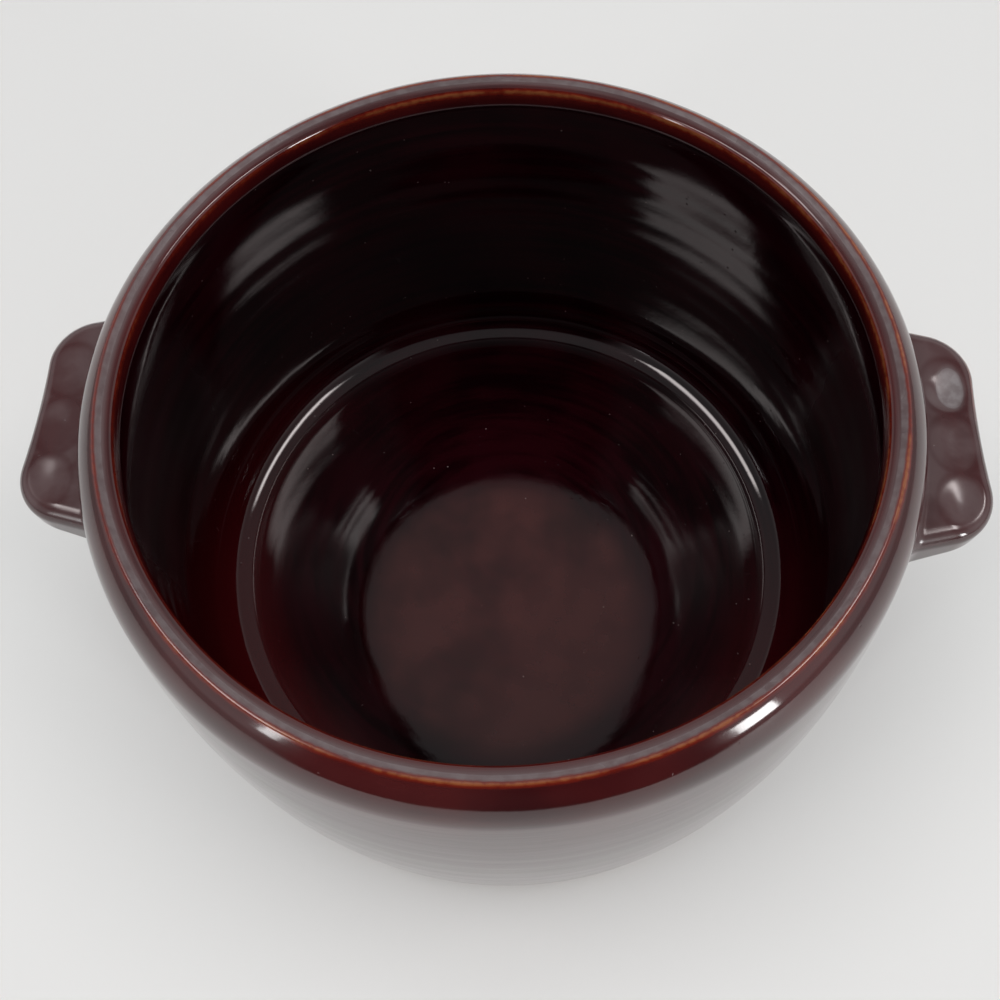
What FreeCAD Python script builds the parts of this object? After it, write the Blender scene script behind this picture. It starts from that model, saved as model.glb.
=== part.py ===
"""Stoneware bean pot: a turned clay body and two pressed lug handles under one glaze.

Millimetres. +Z is up, the origin is at the middle of the foot where the pot
stands, and the two lugs point along +X and -X.
"""
import FreeCAD, Part
import math
import os

from FreeCAD import Vector

# ---------------------------------------------------------------- driving sizes
# Body, outside
pot_height = 118.0        # foot to the ridge of the rim
belly_radius = 97.6       # widest point of the wall
belly_height = 44.0       # height of the widest point
barrel_fall = 6.4         # how much narrower the wall's curve is at the rim's height
shoulder_radius = 14.0    # roll of the wall into the rim
base_round = 7.0          # corner between wall and foot

# Body, inside
wall = 6.5                # clay between the two barrel curves
collar_step = 2.6         # how far the collar stands in from the wall below it
collar_depth = 4.8        # upright band below the lip
collar_slope = 45.0       # fall of the cone below that band, in degrees
seat_width = 2.9          # lid seat, from the lip to the ridge of the rim
lip_drop = 1.4            # fall of the lid seat from the ridge to the lip
floor_thick = 6.5         # clay under the floor
floor_round = 12.0        # hollow corner between wall and floor

# Foot
foot_width = 9.0          # ring that the pot stands on
foot_depth = 0.9          # hollow inside the ring, at its edge
dome_rise = 4.6           # how much higher hollow and floor are at the middle

# Rounded edges of the turned body
ridge_round = 1.0         # ridge of the rim
lip_round = 0.8           # edge between lid seat and collar
collar_round = 1.6        # lower edge of the collar
undercut_round = 5.0      # hollow where the collar meets the wall
foot_round = 0.5          # inner edge of the foot ring

# Lug handles
lug_out = 17.0            # from the wall to the outer edge
lug_length = 49.0         # along the outer edge, its corners not yet rounded
lug_flare = 13.0          # how far each end opens towards the wall, in degrees
lug_drop = 22.0           # ridge of the rim to the upper face
lug_tip = 8.5             # thickness at the outer edge
lug_slope = 14.0          # fall of the underside towards the wall, in degrees
lug_corner = 12.0         # corner seen from above
lug_waist = 0.5           # hollow of the outer edge between its corners
lug_upper_round = 1.5     # upper edge
lug_lower_round = 3.5     # lower edge
lug_root_round = 3.5      # run-out onto the wall

# Finger dimples in the upper face of each lug
dimple_count = 3
dimple_depth = 1.2
dimple_margin = 0.5       # flat left between a dimple and the rounded edges beside it
dimple_round = 1.0        # rim of a dimple

# Glaze
glaze = 0.4               # fired thickness
glaze_line = 3.5          # height of its lower edge over the foot

# ---------------------------------------------------------------- worked-out places
UP = Vector(0, 0, 1)
ORIGIN = Vector(0, 0, 0)
NEAR = 0.01               # how exactly an edge has to lie where it is looked for
TOUCH = 0.001             # how near two faces lie that count as the same face
SPARE = 5.0               # how far a cutting form stands out of the clay
STEPS = 4                 # steps along an edge that is tested for where it lies


def spot(radius, height):
    """A point of a turned outline, which is drawn in the plane of Y and Z."""
    return Vector(0, radius, height)


def direction(start, end):
    """The unit vector from start to end."""
    return (end - start).normalize()


def circles_meet(centre_a, reach_a, centre_b, reach_b):
    """The two points where two circles of an outline cross, the outer one first."""
    gap = (centre_b - centre_a).Length
    along = (reach_a**2 - reach_b**2 + gap**2) / (2 * gap)
    across = math.sqrt(reach_a**2 - along**2)
    ahead = direction(centre_a, centre_b)
    square = Vector(0, -ahead.z, ahead.y)
    foot = centre_a + ahead * along
    return sorted([foot + square * across, foot - square * across], key=lambda point: -point.y)


def line_leaves(start, heading, centre, reach):
    """The point where a line from inside a circle leaves it."""
    arm = start - centre
    ahead = arm.dot(heading)
    return start + heading * (math.sqrt(ahead**2 - arm.dot(arm) + reach**2) - ahead)


barrel_rise = pot_height - belly_height
barrel_radius = (barrel_rise**2 + barrel_fall**2) / (2 * barrel_fall)
barrel_centre = spot(belly_radius - barrel_radius, belly_height)


def barrel_at(height):
    """Radius of the wall's outer curve at a height."""
    return barrel_centre.y + math.sqrt(barrel_radius**2 - (height - belly_height)**2)


# Rim
collar_foot = pot_height - lip_drop - collar_depth
mouth_radius = barrel_at(collar_foot) - wall - collar_step
rim_radius = mouth_radius + seat_width
seat_fall = lip_drop / seat_width

# Lugs and their dimples
lug_top = pot_height - lug_drop
lug_reach = barrel_at(lug_top) + lug_out
lug_heart = mouth_radius / 2   # how deep a lug starts before the wall cuts it off
lug_rise = math.tan(math.radians(lug_slope))
lug_turn = math.radians(lug_flare)
corner_place = lug_length / 2 - lug_corner * math.tan(math.pi / 4 - lug_turn / 2)
edge_band = lug_waist + lug_upper_round + dimple_margin
dimple_width = lug_out - edge_band - dimple_margin - lug_root_round
dimple_pitch = 2 * corner_place / (dimple_count - 1)
dimple_ball = (dimple_width**2 / 4 + dimple_depth**2) / (2 * dimple_depth)

# Middles of the outlines' arcs
ridge = spot(rim_radius, pot_height)
shoulder_centre = circles_meet(
    barrel_centre, barrel_radius - shoulder_radius, ridge, shoulder_radius
)[0]
base_drop = belly_height - base_round
base_centre = spot(
    barrel_centre.y + math.sqrt((barrel_radius - base_round)**2 - base_drop**2), base_round
)
foot_inner = base_centre.y - foot_width
hollow_radius = (foot_inner**2 + dome_rise**2) / (2 * dome_rise)
dome_radius = hollow_radius + floor_thick
dome_centre = spot(0, foot_depth + dome_rise - hollow_radius)
corner_centre = circles_meet(
    barrel_centre, barrel_radius - wall - floor_round, dome_centre, dome_radius + floor_round
)[0]


# ---------------------------------------------------------------- outlines
def line(start, end):
    """A straight edge."""
    return Part.LineSegment(start, end).toShape()


def arc(centre, start, end):
    """The shorter arc about a centre from start to end."""
    middle = direction(centre, start) + direction(centre, end)
    return Part.Arc(start, centre + middle.normalize() * (start - centre).Length, end).toShape()


def turned(edges):
    """The solid that an outline makes when it is turned about the pot's axis."""
    return Part.Face(Part.Wire(edges)).revolve(ORIGIN, UP, 360)


def seat_height(radius, skin):
    """Height of the lid seat at a radius, lifted square to itself by a skin."""
    fall = seat_fall * (rim_radius - radius)
    return pot_height - fall + skin * math.hypot(1, seat_fall)


def lip_point(skin):
    """The edge between the lid seat and the collar."""
    return spot(mouth_radius - skin, seat_height(mouth_radius - skin, skin))


def collar_point(skin):
    """The lower edge of the collar, where a cone leads out to the wall."""
    turn = math.radians(90 - collar_slope)
    return spot(mouth_radius - skin, collar_foot - skin * math.tan(turn / 2))


def ridge_point(skin):
    """Where the lid seat and the shoulder meet."""
    inside = spot(shoulder_centre.y, seat_height(shoulder_centre.y, skin))
    heading = spot(1, seat_fall).normalize()
    return line_leaves(inside, heading, shoulder_centre, shoulder_radius + skin)


def undercut_point(skin):
    """Where the cone below the collar meets the inside of the wall."""
    heading = spot(1, -math.tan(math.radians(collar_slope))).normalize()
    return line_leaves(collar_point(skin), heading, barrel_centre, barrel_radius - wall - skin)


# ---------------------------------------------------------------- forms of the pot
# Each form takes a skin: 0 is the clay, the glaze's thickness is the glazed surface.
def outside_form(skin):
    """The pot's outside, filled up to the lid seat."""
    barrel = barrel_radius + skin
    base_foot = base_centre - UP * (base_round + skin)
    base_joint = barrel_centre + direction(barrel_centre, base_centre) * barrel
    shoulder_joint = barrel_centre + direction(barrel_centre, shoulder_centre) * barrel
    lip = lip_point(skin)
    return turned([
        line(spot(0, base_foot.z), base_foot),
        arc(base_centre, base_foot, base_joint),
        arc(barrel_centre, base_joint, shoulder_joint),
        arc(shoulder_centre, shoulder_joint, ridge_point(skin)),
        line(ridge_point(skin), lip),
        line(lip, spot(0, lip.z)),
        line(spot(0, lip.z), spot(0, base_foot.z)),
    ])


def hollow_form(skin):
    """The room inside the pot, open above the rim."""
    dome = dome_radius + skin
    middle = dome_centre + UP * dome
    dome_joint = dome_centre + direction(dome_centre, corner_centre) * dome
    wall_joint = barrel_centre
    wall_joint += direction(barrel_centre, corner_centre) * (barrel_radius - wall - skin)
    above = spot(mouth_radius - skin, pot_height + SPARE)
    return turned([
        line(spot(0, above.z), above),
        line(above, collar_point(skin)),
        line(collar_point(skin), undercut_point(skin)),
        arc(barrel_centre, undercut_point(skin), wall_joint),
        arc(corner_centre, wall_joint, dome_joint),
        arc(dome_centre, dome_joint, middle),
        line(middle, spot(0, above.z)),
    ])


def foot_hollow():
    """The domed hollow inside the foot ring."""
    edge = spot(foot_inner, foot_depth)
    middle = spot(0, foot_depth + dome_rise)
    low = spot(foot_inner, -SPARE)
    return turned([
        line(spot(0, low.z), low),
        line(low, edge),
        arc(dome_centre, edge, middle),
        line(middle, spot(0, low.z)),
    ])


def is_circle(edge):
    """Whether an edge is part of a circle. A bare seam has no curve at all."""
    try:
        return isinstance(edge.Curve, Part.Circle)
    except TypeError:
        return False


def rings_at(shape, point):
    """The edges of a turned shape that run through a point of its outline."""
    found = []
    for edge in shape.Edges:
        if is_circle(edge) and abs(edge.Curve.Center.x) < NEAR:
            if math.hypot(edge.Curve.Radius - point.y, edge.Curve.Center.z - point.z) < NEAR:
                found.append(edge)
    return found


def turned_form(skin):
    """The pot without lugs and foot ring: outside less hollow, with its edges rounded."""
    shape = outside_form(skin).cut(hollow_form(skin))
    rounds = [
        (ridge_point(skin), ridge_round + skin),
        (lip_point(skin), lip_round + skin),
        (collar_point(skin), collar_round + skin),
        (undercut_point(skin), undercut_round - skin),
    ]
    for point, radius in rounds:
        shape = shape.makeFillet(radius, rings_at(shape, point))
    return shape


def footed(shape):
    """A turned form with the hollow cut into its foot, which leaves the ring."""
    shape = shape.cut(foot_hollow())
    return shape.makeFillet(foot_round, rings_at(shape, spot(foot_inner, 0)))


# ---------------------------------------------------------------- lug handles
def mirrored(point):
    """The same point on the other side of the lug's middle."""
    return Vector(point.x, -point.y, point.z)


def lug_outline(skin):
    """The lug at +X seen from above: flared ends, round corners and a waisted edge."""
    corner = lug_corner + skin
    centre = Vector(lug_reach - lug_corner, corner_place, 0)
    end = centre + Vector(math.sin(lug_turn), math.cos(lug_turn), 0) * corner
    root = Vector(lug_heart, end.y + (end.x - lug_heart) * math.tan(lug_turn), 0)
    waist_arm = (lug_waist**2 + centre.y**2) / (2 * lug_waist)
    waist_centre = Vector(lug_reach - lug_waist + waist_arm - lug_corner, 0, 0)
    middle = Vector(lug_reach - lug_waist + skin, 0, 0)
    joint = centre + direction(centre, waist_centre) * corner
    return Part.Wire([
        line(mirrored(root), mirrored(end)),
        arc(mirrored(centre), mirrored(end), mirrored(joint)),
        Part.Arc(mirrored(joint), middle, joint).toShape(),
        arc(centre, joint, end),
        line(end, root),
        line(root, mirrored(root)),
    ])


def free_edges(blank, low, high):
    """The edges of a lug between two heights, without the one inside the pot."""
    return [
        edge for edge in blank.Edges
        if edge.BoundBox.ZMin > low and edge.BoundBox.ZMax < high
        and edge.BoundBox.XMax > lug_heart + NEAR
    ]


def lug_blank(skin):
    """The lug at +X before it meets the wall: a wedge that is thinner at its tip."""
    top = lug_top + skin
    tip_low = lug_top - lug_tip - skin * math.hypot(1, lug_rise)
    root_low = tip_low - (lug_reach - lug_heart) * lug_rise
    plate = Part.Face(lug_outline(skin)).extrude(UP * (top - root_low))
    plate.translate(UP * root_low)
    wedge = Part.makePolygon([
        Vector(lug_heart - SPARE, -lug_length, root_low - SPARE * lug_rise),
        Vector(lug_reach + SPARE, -lug_length, root_low - SPARE * lug_rise),
        Vector(lug_reach + SPARE, -lug_length, tip_low + SPARE * lug_rise),
        Vector(lug_heart - SPARE, -lug_length, root_low - SPARE * lug_rise),
    ])
    blank = plate.cut(Part.Face(wedge).extrude(Vector(0, 2 * lug_length, 0)))
    upper = free_edges(blank, top - NEAR, top + NEAR)
    blank = blank.makeFillet(lug_upper_round + skin, upper)
    lower = free_edges(blank, root_low - NEAR, tip_low + NEAR)
    return blank.makeFillet(lug_lower_round + skin, lower)


def on_both_sides(form):
    """A form at +X and the same form turned to -X."""
    other = form.copy()
    other.rotate(ORIGIN, UP, 180)
    return [form, other]


def dimple_presses(skin):
    """The ball ends that press the finger dimples into the lug at +X."""
    ball = dimple_ball - skin
    height = lug_top - dimple_depth + dimple_ball
    brim = math.degrees(math.asin((lug_top + skin + dimple_round - height) / ball))
    first = -dimple_pitch * (dimple_count - 1) / 2
    presses = []
    for index in range(dimple_count):
        middle = Vector(lug_reach - edge_band - dimple_width / 2, first + dimple_pitch * index, height)
        presses.append(Part.makeSphere(ball, middle, UP, -90, brim))
    return presses


def is_dimple_rim(edge, skin):
    """Whether an edge lies round the mouth of a dimple."""
    if not is_circle(edge) or abs(edge.Curve.Center.z - lug_top - skin) > NEAR:
        return False
    ball = dimple_ball - skin
    rim = math.sqrt(ball**2 - (ball - dimple_depth)**2)
    return abs(edge.Curve.Radius - rim) < NEAR


def root_edges(shape, skin):
    """The edges along which the lugs meet the wall."""
    found = []
    for edge in shape.Edges:
        if edge.Length > 2 * lug_length:
            continue
        step = (edge.LastParameter - edge.FirstParameter) / STEPS
        points = [edge.valueAt(edge.FirstParameter + step * count) for count in range(STEPS + 1)]
        off = [abs(math.hypot(point.x, point.y) - skin - barrel_at(point.z)) for point in points]
        if max(off) < NEAR:
            found.append(edge)
    return found


def pot_form(skin):
    """The whole pot with its lugs blended into the wall."""
    core = outside_form(-wall / 2)
    blanks = on_both_sides(lug_blank(skin).cut(core))
    shape = turned_form(skin).fuse(blanks)
    shape = shape.makeFillet(lug_root_round - skin, root_edges(shape, skin))
    presses = [form for press in dimple_presses(skin) for form in on_both_sides(press)]
    shape = shape.cut(presses)
    rims = [edge for edge in shape.Edges if is_dimple_rim(edge, skin)]
    return shape.makeFillet(dimple_round + skin, rims)


def one_solid(shape, place):
    """The solid of a shape whose middle lies nearest to a place."""
    return min(shape.Solids, key=lambda solid: (solid.CenterOfMass - place).Length)


# ---------------------------------------------------------------- pieces
def build():
    """Every piece of the pot by its name."""
    clay = pot_form(0)
    lugs = clay.cut([outside_form(0)], TOUCH)
    glazed = pot_form(glaze)
    dry = Part.makeCylinder(belly_radius + SPARE, glaze_line + SPARE, Vector(0, 0, -SPARE))
    coat = glazed.cut(clay).cut(dry)
    return {
        "pot_body": one_solid(footed(turned_form(0)), ORIGIN),
        "right_handle": one_solid(lugs, Vector(lug_reach, 0, lug_top)),
        "left_handle": one_solid(lugs, Vector(-lug_reach, 0, lug_top)),
        "glaze_coat": one_solid(coat, ORIGIN),
    }


os.makedirs("parts", exist_ok=True)
for name, solid in build().items():
    print(f"{name}: {solid.Volume / 1000:.1f} ml, valid {solid.isValid()}")
    solid.exportStep(f"parts/{name}.step")
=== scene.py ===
"""Looks of the stoneware bean pot: turned clay, two pressed lugs and a dark red-brown glaze.

Sizes are in millimetres until a mesh is made, and metres from there on. +Z is
up, the pot stands on its dry foot at the origin, and the lugs point along +X
and -X.
"""

import logging
import math
from collections.abc import Callable, Sequence
from dataclasses import astuple, dataclass
from enum import Enum

import bmesh
import bpy
import numpy as np
from mathutils import Matrix, Vector


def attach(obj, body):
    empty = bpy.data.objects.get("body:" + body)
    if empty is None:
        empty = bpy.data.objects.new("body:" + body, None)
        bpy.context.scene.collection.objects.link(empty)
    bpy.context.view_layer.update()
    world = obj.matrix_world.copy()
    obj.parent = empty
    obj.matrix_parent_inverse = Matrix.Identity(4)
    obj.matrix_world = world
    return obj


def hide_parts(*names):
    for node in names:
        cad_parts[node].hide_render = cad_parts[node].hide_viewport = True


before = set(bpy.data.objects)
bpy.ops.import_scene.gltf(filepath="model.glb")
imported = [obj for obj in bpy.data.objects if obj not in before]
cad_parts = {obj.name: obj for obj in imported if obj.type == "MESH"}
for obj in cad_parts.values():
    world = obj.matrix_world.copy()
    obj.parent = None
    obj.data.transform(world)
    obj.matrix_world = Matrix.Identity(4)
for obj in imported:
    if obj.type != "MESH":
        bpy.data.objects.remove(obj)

MM = 0.001
FAR = 1000.0
HALVINGS = 26
log = logging.getLogger("bean_pot")

Field = Callable[[np.ndarray], np.ndarray]
Pair = tuple[float, float]
Four = tuple[float, float, float, float]
Three = tuple[float, float, float]
Colour = Three
Socket = bpy.types.NodeSocket


# ---------------------------------------------------------------- plane geometry
def unit(vector: np.ndarray) -> np.ndarray:
    """A vector, or each vector of an array, at length 1."""
    return vector / np.linalg.norm(vector, axis=-1, keepdims=True)


def point(radius: float, height: float) -> np.ndarray:
    """A point of a turned outline: its distance from the axis and its height."""
    return np.array([radius, height], dtype=float)


def circles_meet(centre_a: np.ndarray, reach_a: float, centre_b: np.ndarray, reach_b: float) -> np.ndarray:
    """The outer one of the two points where two circles of an outline cross.

    Args:
        centre_a: Middle of the first circle.
        reach_a: Its radius.
        centre_b: Middle of the second circle.
        reach_b: Its radius.

    Returns:
        The crossing that lies further from the pot's axis.
    """
    gap = float(np.linalg.norm(centre_b - centre_a))
    along = (reach_a**2 - reach_b**2 + gap**2) / (2 * gap)
    ahead = unit(centre_b - centre_a)
    square = point(-ahead[1], ahead[0]) * math.sqrt(reach_a**2 - along**2)
    foot = centre_a + ahead * along
    return max(foot + square, foot - square, key=lambda place: place[0])


def line_leaves(start: np.ndarray, heading: np.ndarray, centre: np.ndarray, reach: float) -> np.ndarray:
    """The point where a line that starts inside a circle leaves it.

    Args:
        start: A point inside the circle.
        heading: Unit direction of the line.
        centre: Middle of the circle.
        reach: Radius of the circle.

    Returns:
        The point on the circle.
    """
    arm = start - centre
    ahead = float(arm @ heading)
    return start + heading * (math.sqrt(ahead**2 - float(arm @ arm) + reach**2) - ahead)


def arc(centre: np.ndarray, start: np.ndarray, end: np.ndarray, steps: int) -> np.ndarray:
    """Points along the shorter arc about a centre, both ends included.

    Args:
        centre: Middle of the arc.
        start: First point.
        end: Last point, as far from the centre as the first.
        steps: How many equal steps the arc has.

    Returns:
        An array of steps + 1 points.
    """
    first = math.atan2(*(start - centre)[::-1])
    turn = (math.atan2(*(end - centre)[::-1]) - first + math.pi) % (2 * math.pi) - math.pi
    angle = first + turn * np.linspace(0, 1, steps + 1)
    return centre + np.linalg.norm(start - centre) * np.stack([np.cos(angle), np.sin(angle)], -1)


def straight(start: np.ndarray, end: np.ndarray, steps: int) -> np.ndarray:
    """Points along a straight line, both ends included."""
    return start + (end - start) * np.linspace(0, 1, steps + 1)[:, None]


def rounded_corner(before: np.ndarray, corner: np.ndarray, after: np.ndarray, radius: float,
                   steps: int) -> np.ndarray:
    """The arc that rounds the corner between two straight lines.

    Args:
        before: A point on the line that runs into the corner.
        corner: The sharp corner.
        after: A point on the line that leaves it.
        radius: Radius of the round.
        steps: How many equal steps the arc has.

    Returns:
        The points of the arc.
    """
    back = unit(before - corner)
    ahead = unit(after - corner)
    half = math.acos(float(back @ ahead)) / 2
    centre = corner + unit(back + ahead) * radius / math.sin(half)
    run = radius / math.tan(half)
    return arc(centre, corner + back * run, corner + ahead * run, steps)


def smooth_step(values: np.ndarray, low: float, high: float) -> np.ndarray:
    """A soft step from 0 at the low value to 1 at the high one."""
    share = np.clip((values - low) / (high - low), 0, 1)
    return share**2 * (3 - 2 * share)


def bell(line: np.ndarray, middle: np.ndarray, width: float) -> np.ndarray:
    """A bell over points: 1 at its middle, falling with the squared distance over the width."""
    return np.exp(-(np.linalg.norm(line - middle, axis=1) / width) ** 2)


def joined(runs: Sequence[np.ndarray]) -> np.ndarray:
    """Runs of points as one line, without the points that two runs share."""
    return np.concatenate([runs[0]] + [run[1:] for run in runs[1:]])


# ---------------------------------------------------------------- sizes
@dataclass(frozen=True)
class TurnedSizes:
    """Sizes of the turned body, as the CAD has them."""

    height: float = 118.0
    belly_radius: float = 97.6
    belly_height: float = 44.0
    barrel_fall: float = 6.4
    shoulder_radius: float = 14.0
    base_round: float = 7.0
    wall: float = 6.5
    collar_step: float = 2.6
    collar_depth: float = 4.8
    collar_slope: float = 45.0
    seat_width: float = 2.9
    lip_drop: float = 1.4
    floor_thick: float = 6.5
    floor_round: float = 12.0
    foot_width: float = 9.0
    foot_depth: float = 0.9
    dome_rise: float = 4.6
    ridge_round: float = 1.0
    lip_round: float = 0.8
    collar_round: float = 1.6
    undercut_round: float = 5.0
    foot_round: float = 0.5
    glaze: float = 0.4
    glaze_line: float = 3.5

    @property
    def barrel_radius(self) -> float:
        """Radius of the wall's upright curve."""
        rise = self.height - self.belly_height
        return (rise**2 + self.barrel_fall**2) / (2 * self.barrel_fall)

    @property
    def barrel_centre(self) -> np.ndarray:
        """Middle of the wall's upright curve."""
        return point(self.belly_radius - self.barrel_radius, self.belly_height)

    def barrel_at(self, height: float) -> float:
        """Radius of the clay's outside at a height of the wall."""
        reach = math.sqrt(self.barrel_radius**2 - (height - self.belly_height) ** 2)
        return float(self.barrel_centre[0]) + reach

    @property
    def collar_foot(self) -> float:
        """Height of the collar's lower edge."""
        return self.height - self.lip_drop - self.collar_depth

    @property
    def mouth_radius(self) -> float:
        """Radius of the lip, the narrowest place of the mouth."""
        return self.barrel_at(self.collar_foot) - self.wall - self.collar_step

    @property
    def rim_radius(self) -> float:
        """Radius of the ridge of the rim."""
        return self.mouth_radius + self.seat_width

    @property
    def shoulder_centre(self) -> np.ndarray:
        """Middle of the roll between wall and rim.

        Returns:
            The point that lies its radius inside the wall and off the ridge.
        """
        ridge = point(self.rim_radius, self.height)
        reach = self.barrel_radius - self.shoulder_radius
        return circles_meet(self.barrel_centre, reach, ridge, self.shoulder_radius)

    @property
    def base_centre(self) -> np.ndarray:
        """Middle of the corner between wall and foot.

        Returns:
            The point that lies its radius inside the wall and above the table.
        """
        drop = self.belly_height - self.base_round
        reach = math.sqrt((self.barrel_radius - self.base_round) ** 2 - drop**2)
        return point(self.barrel_centre[0] + reach, self.base_round)

    @property
    def foot_inner(self) -> float:
        """Inner radius of the ring that the pot stands on."""
        return float(self.base_centre[0]) - self.foot_width

    @property
    def hollow_radius(self) -> float:
        """Radius of the domed hollow under the floor."""
        return (self.foot_inner**2 + self.dome_rise**2) / (2 * self.dome_rise)

    @property
    def dome_centre(self) -> np.ndarray:
        """Middle of the domed floor's curve."""
        return point(0, self.foot_depth + self.dome_rise - self.hollow_radius)

    @property
    def corner_centre(self) -> np.ndarray:
        """Middle of the hollow corner between wall and floor.

        Returns:
            The point that lies its radius inside the wall and above the floor.
        """
        inner = self.barrel_radius - self.wall - self.floor_round
        dome = self.hollow_radius + self.floor_thick + self.floor_round
        return circles_meet(self.barrel_centre, inner, self.dome_centre, dome)


@dataclass(frozen=True)
class Swell:
    """One soft swell of the room's wall: how far out it stands, at which height and over which length."""

    out: float
    height: float
    length: float

    def at(self, heights: np.ndarray) -> np.ndarray:
        """The swell at each height, a bell about its own height."""
        return self.out * np.exp(-(((heights - self.height) / self.length) ** 2))


@dataclass(frozen=True)
class Settling:
    """How the room differs from its plain curves: the wall swells softly and the floor falls to its edge."""

    waist: Swell = Swell(-0.67, 59.7, 15.2)
    neck: Swell = Swell(0.77, 94.4, 11.2)
    painted_heel_light: Swell = Swell(-0.09, 49.0, 10.8)
    fall: float = 1.84
    fall_radius: float = 56.4
    fall_length: float = 6.2
    fall_lifted: float = 0.45
    wall_starts: Pair = (15.0, 24.0)
    wall_ends: Pair = (102.0, 109.0)
    fall_ends: Pair = (14.0, 34.0)

    def settled(self, line: np.ndarray) -> np.ndarray:
        """An outline of the room, settled.

        The radius of the wall moves by the sum of the three swells, faded out
        at the floor and under the collar. The height of the floor moves by the
        fall times a soft step of the radius, so its middle stands a little
        higher and its edge lies a little lower. The step fades up the wall.

        Args:
            line: Points of radius and height.

        Returns:
            The moved points.
        """
        radius, height = line.T
        on_wall = smooth_step(height, *self.wall_starts) * (1 - smooth_step(height, *self.wall_ends))
        swell = (self.waist.at(height) + self.neck.at(height) + self.painted_heel_light.at(height)) * on_wall
        step = 1 / (1 + np.exp((self.fall_radius - radius) / self.fall_length))
        drop = self.fall * (step - self.fall_lifted) * (1 - smooth_step(height, *self.fall_ends))
        return np.stack([radius + swell, height - drop], -1)


@dataclass(frozen=True)
class RunSteps:
    """Steps of each run of the outline, at full fineness."""

    floor: int = 34
    corner: int = 20
    wall: int = 56
    undercut: int = 10
    cone: int = 2
    collar_round: int = 8
    collar: int = 6
    lip: int = 8
    seat: int = 3
    ridge: int = 10
    shoulder: int = 18
    barrel: int = 34
    base: int = 9
    stand: int = 4
    foot_round: int = 6
    hollow: int = 24

    def scaled(self, fine: float) -> "RunSteps":
        """The steps times a fineness, each at least one."""
        return RunSteps(*(max(1, round(count * fine)) for count in astuple(self)))


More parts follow.
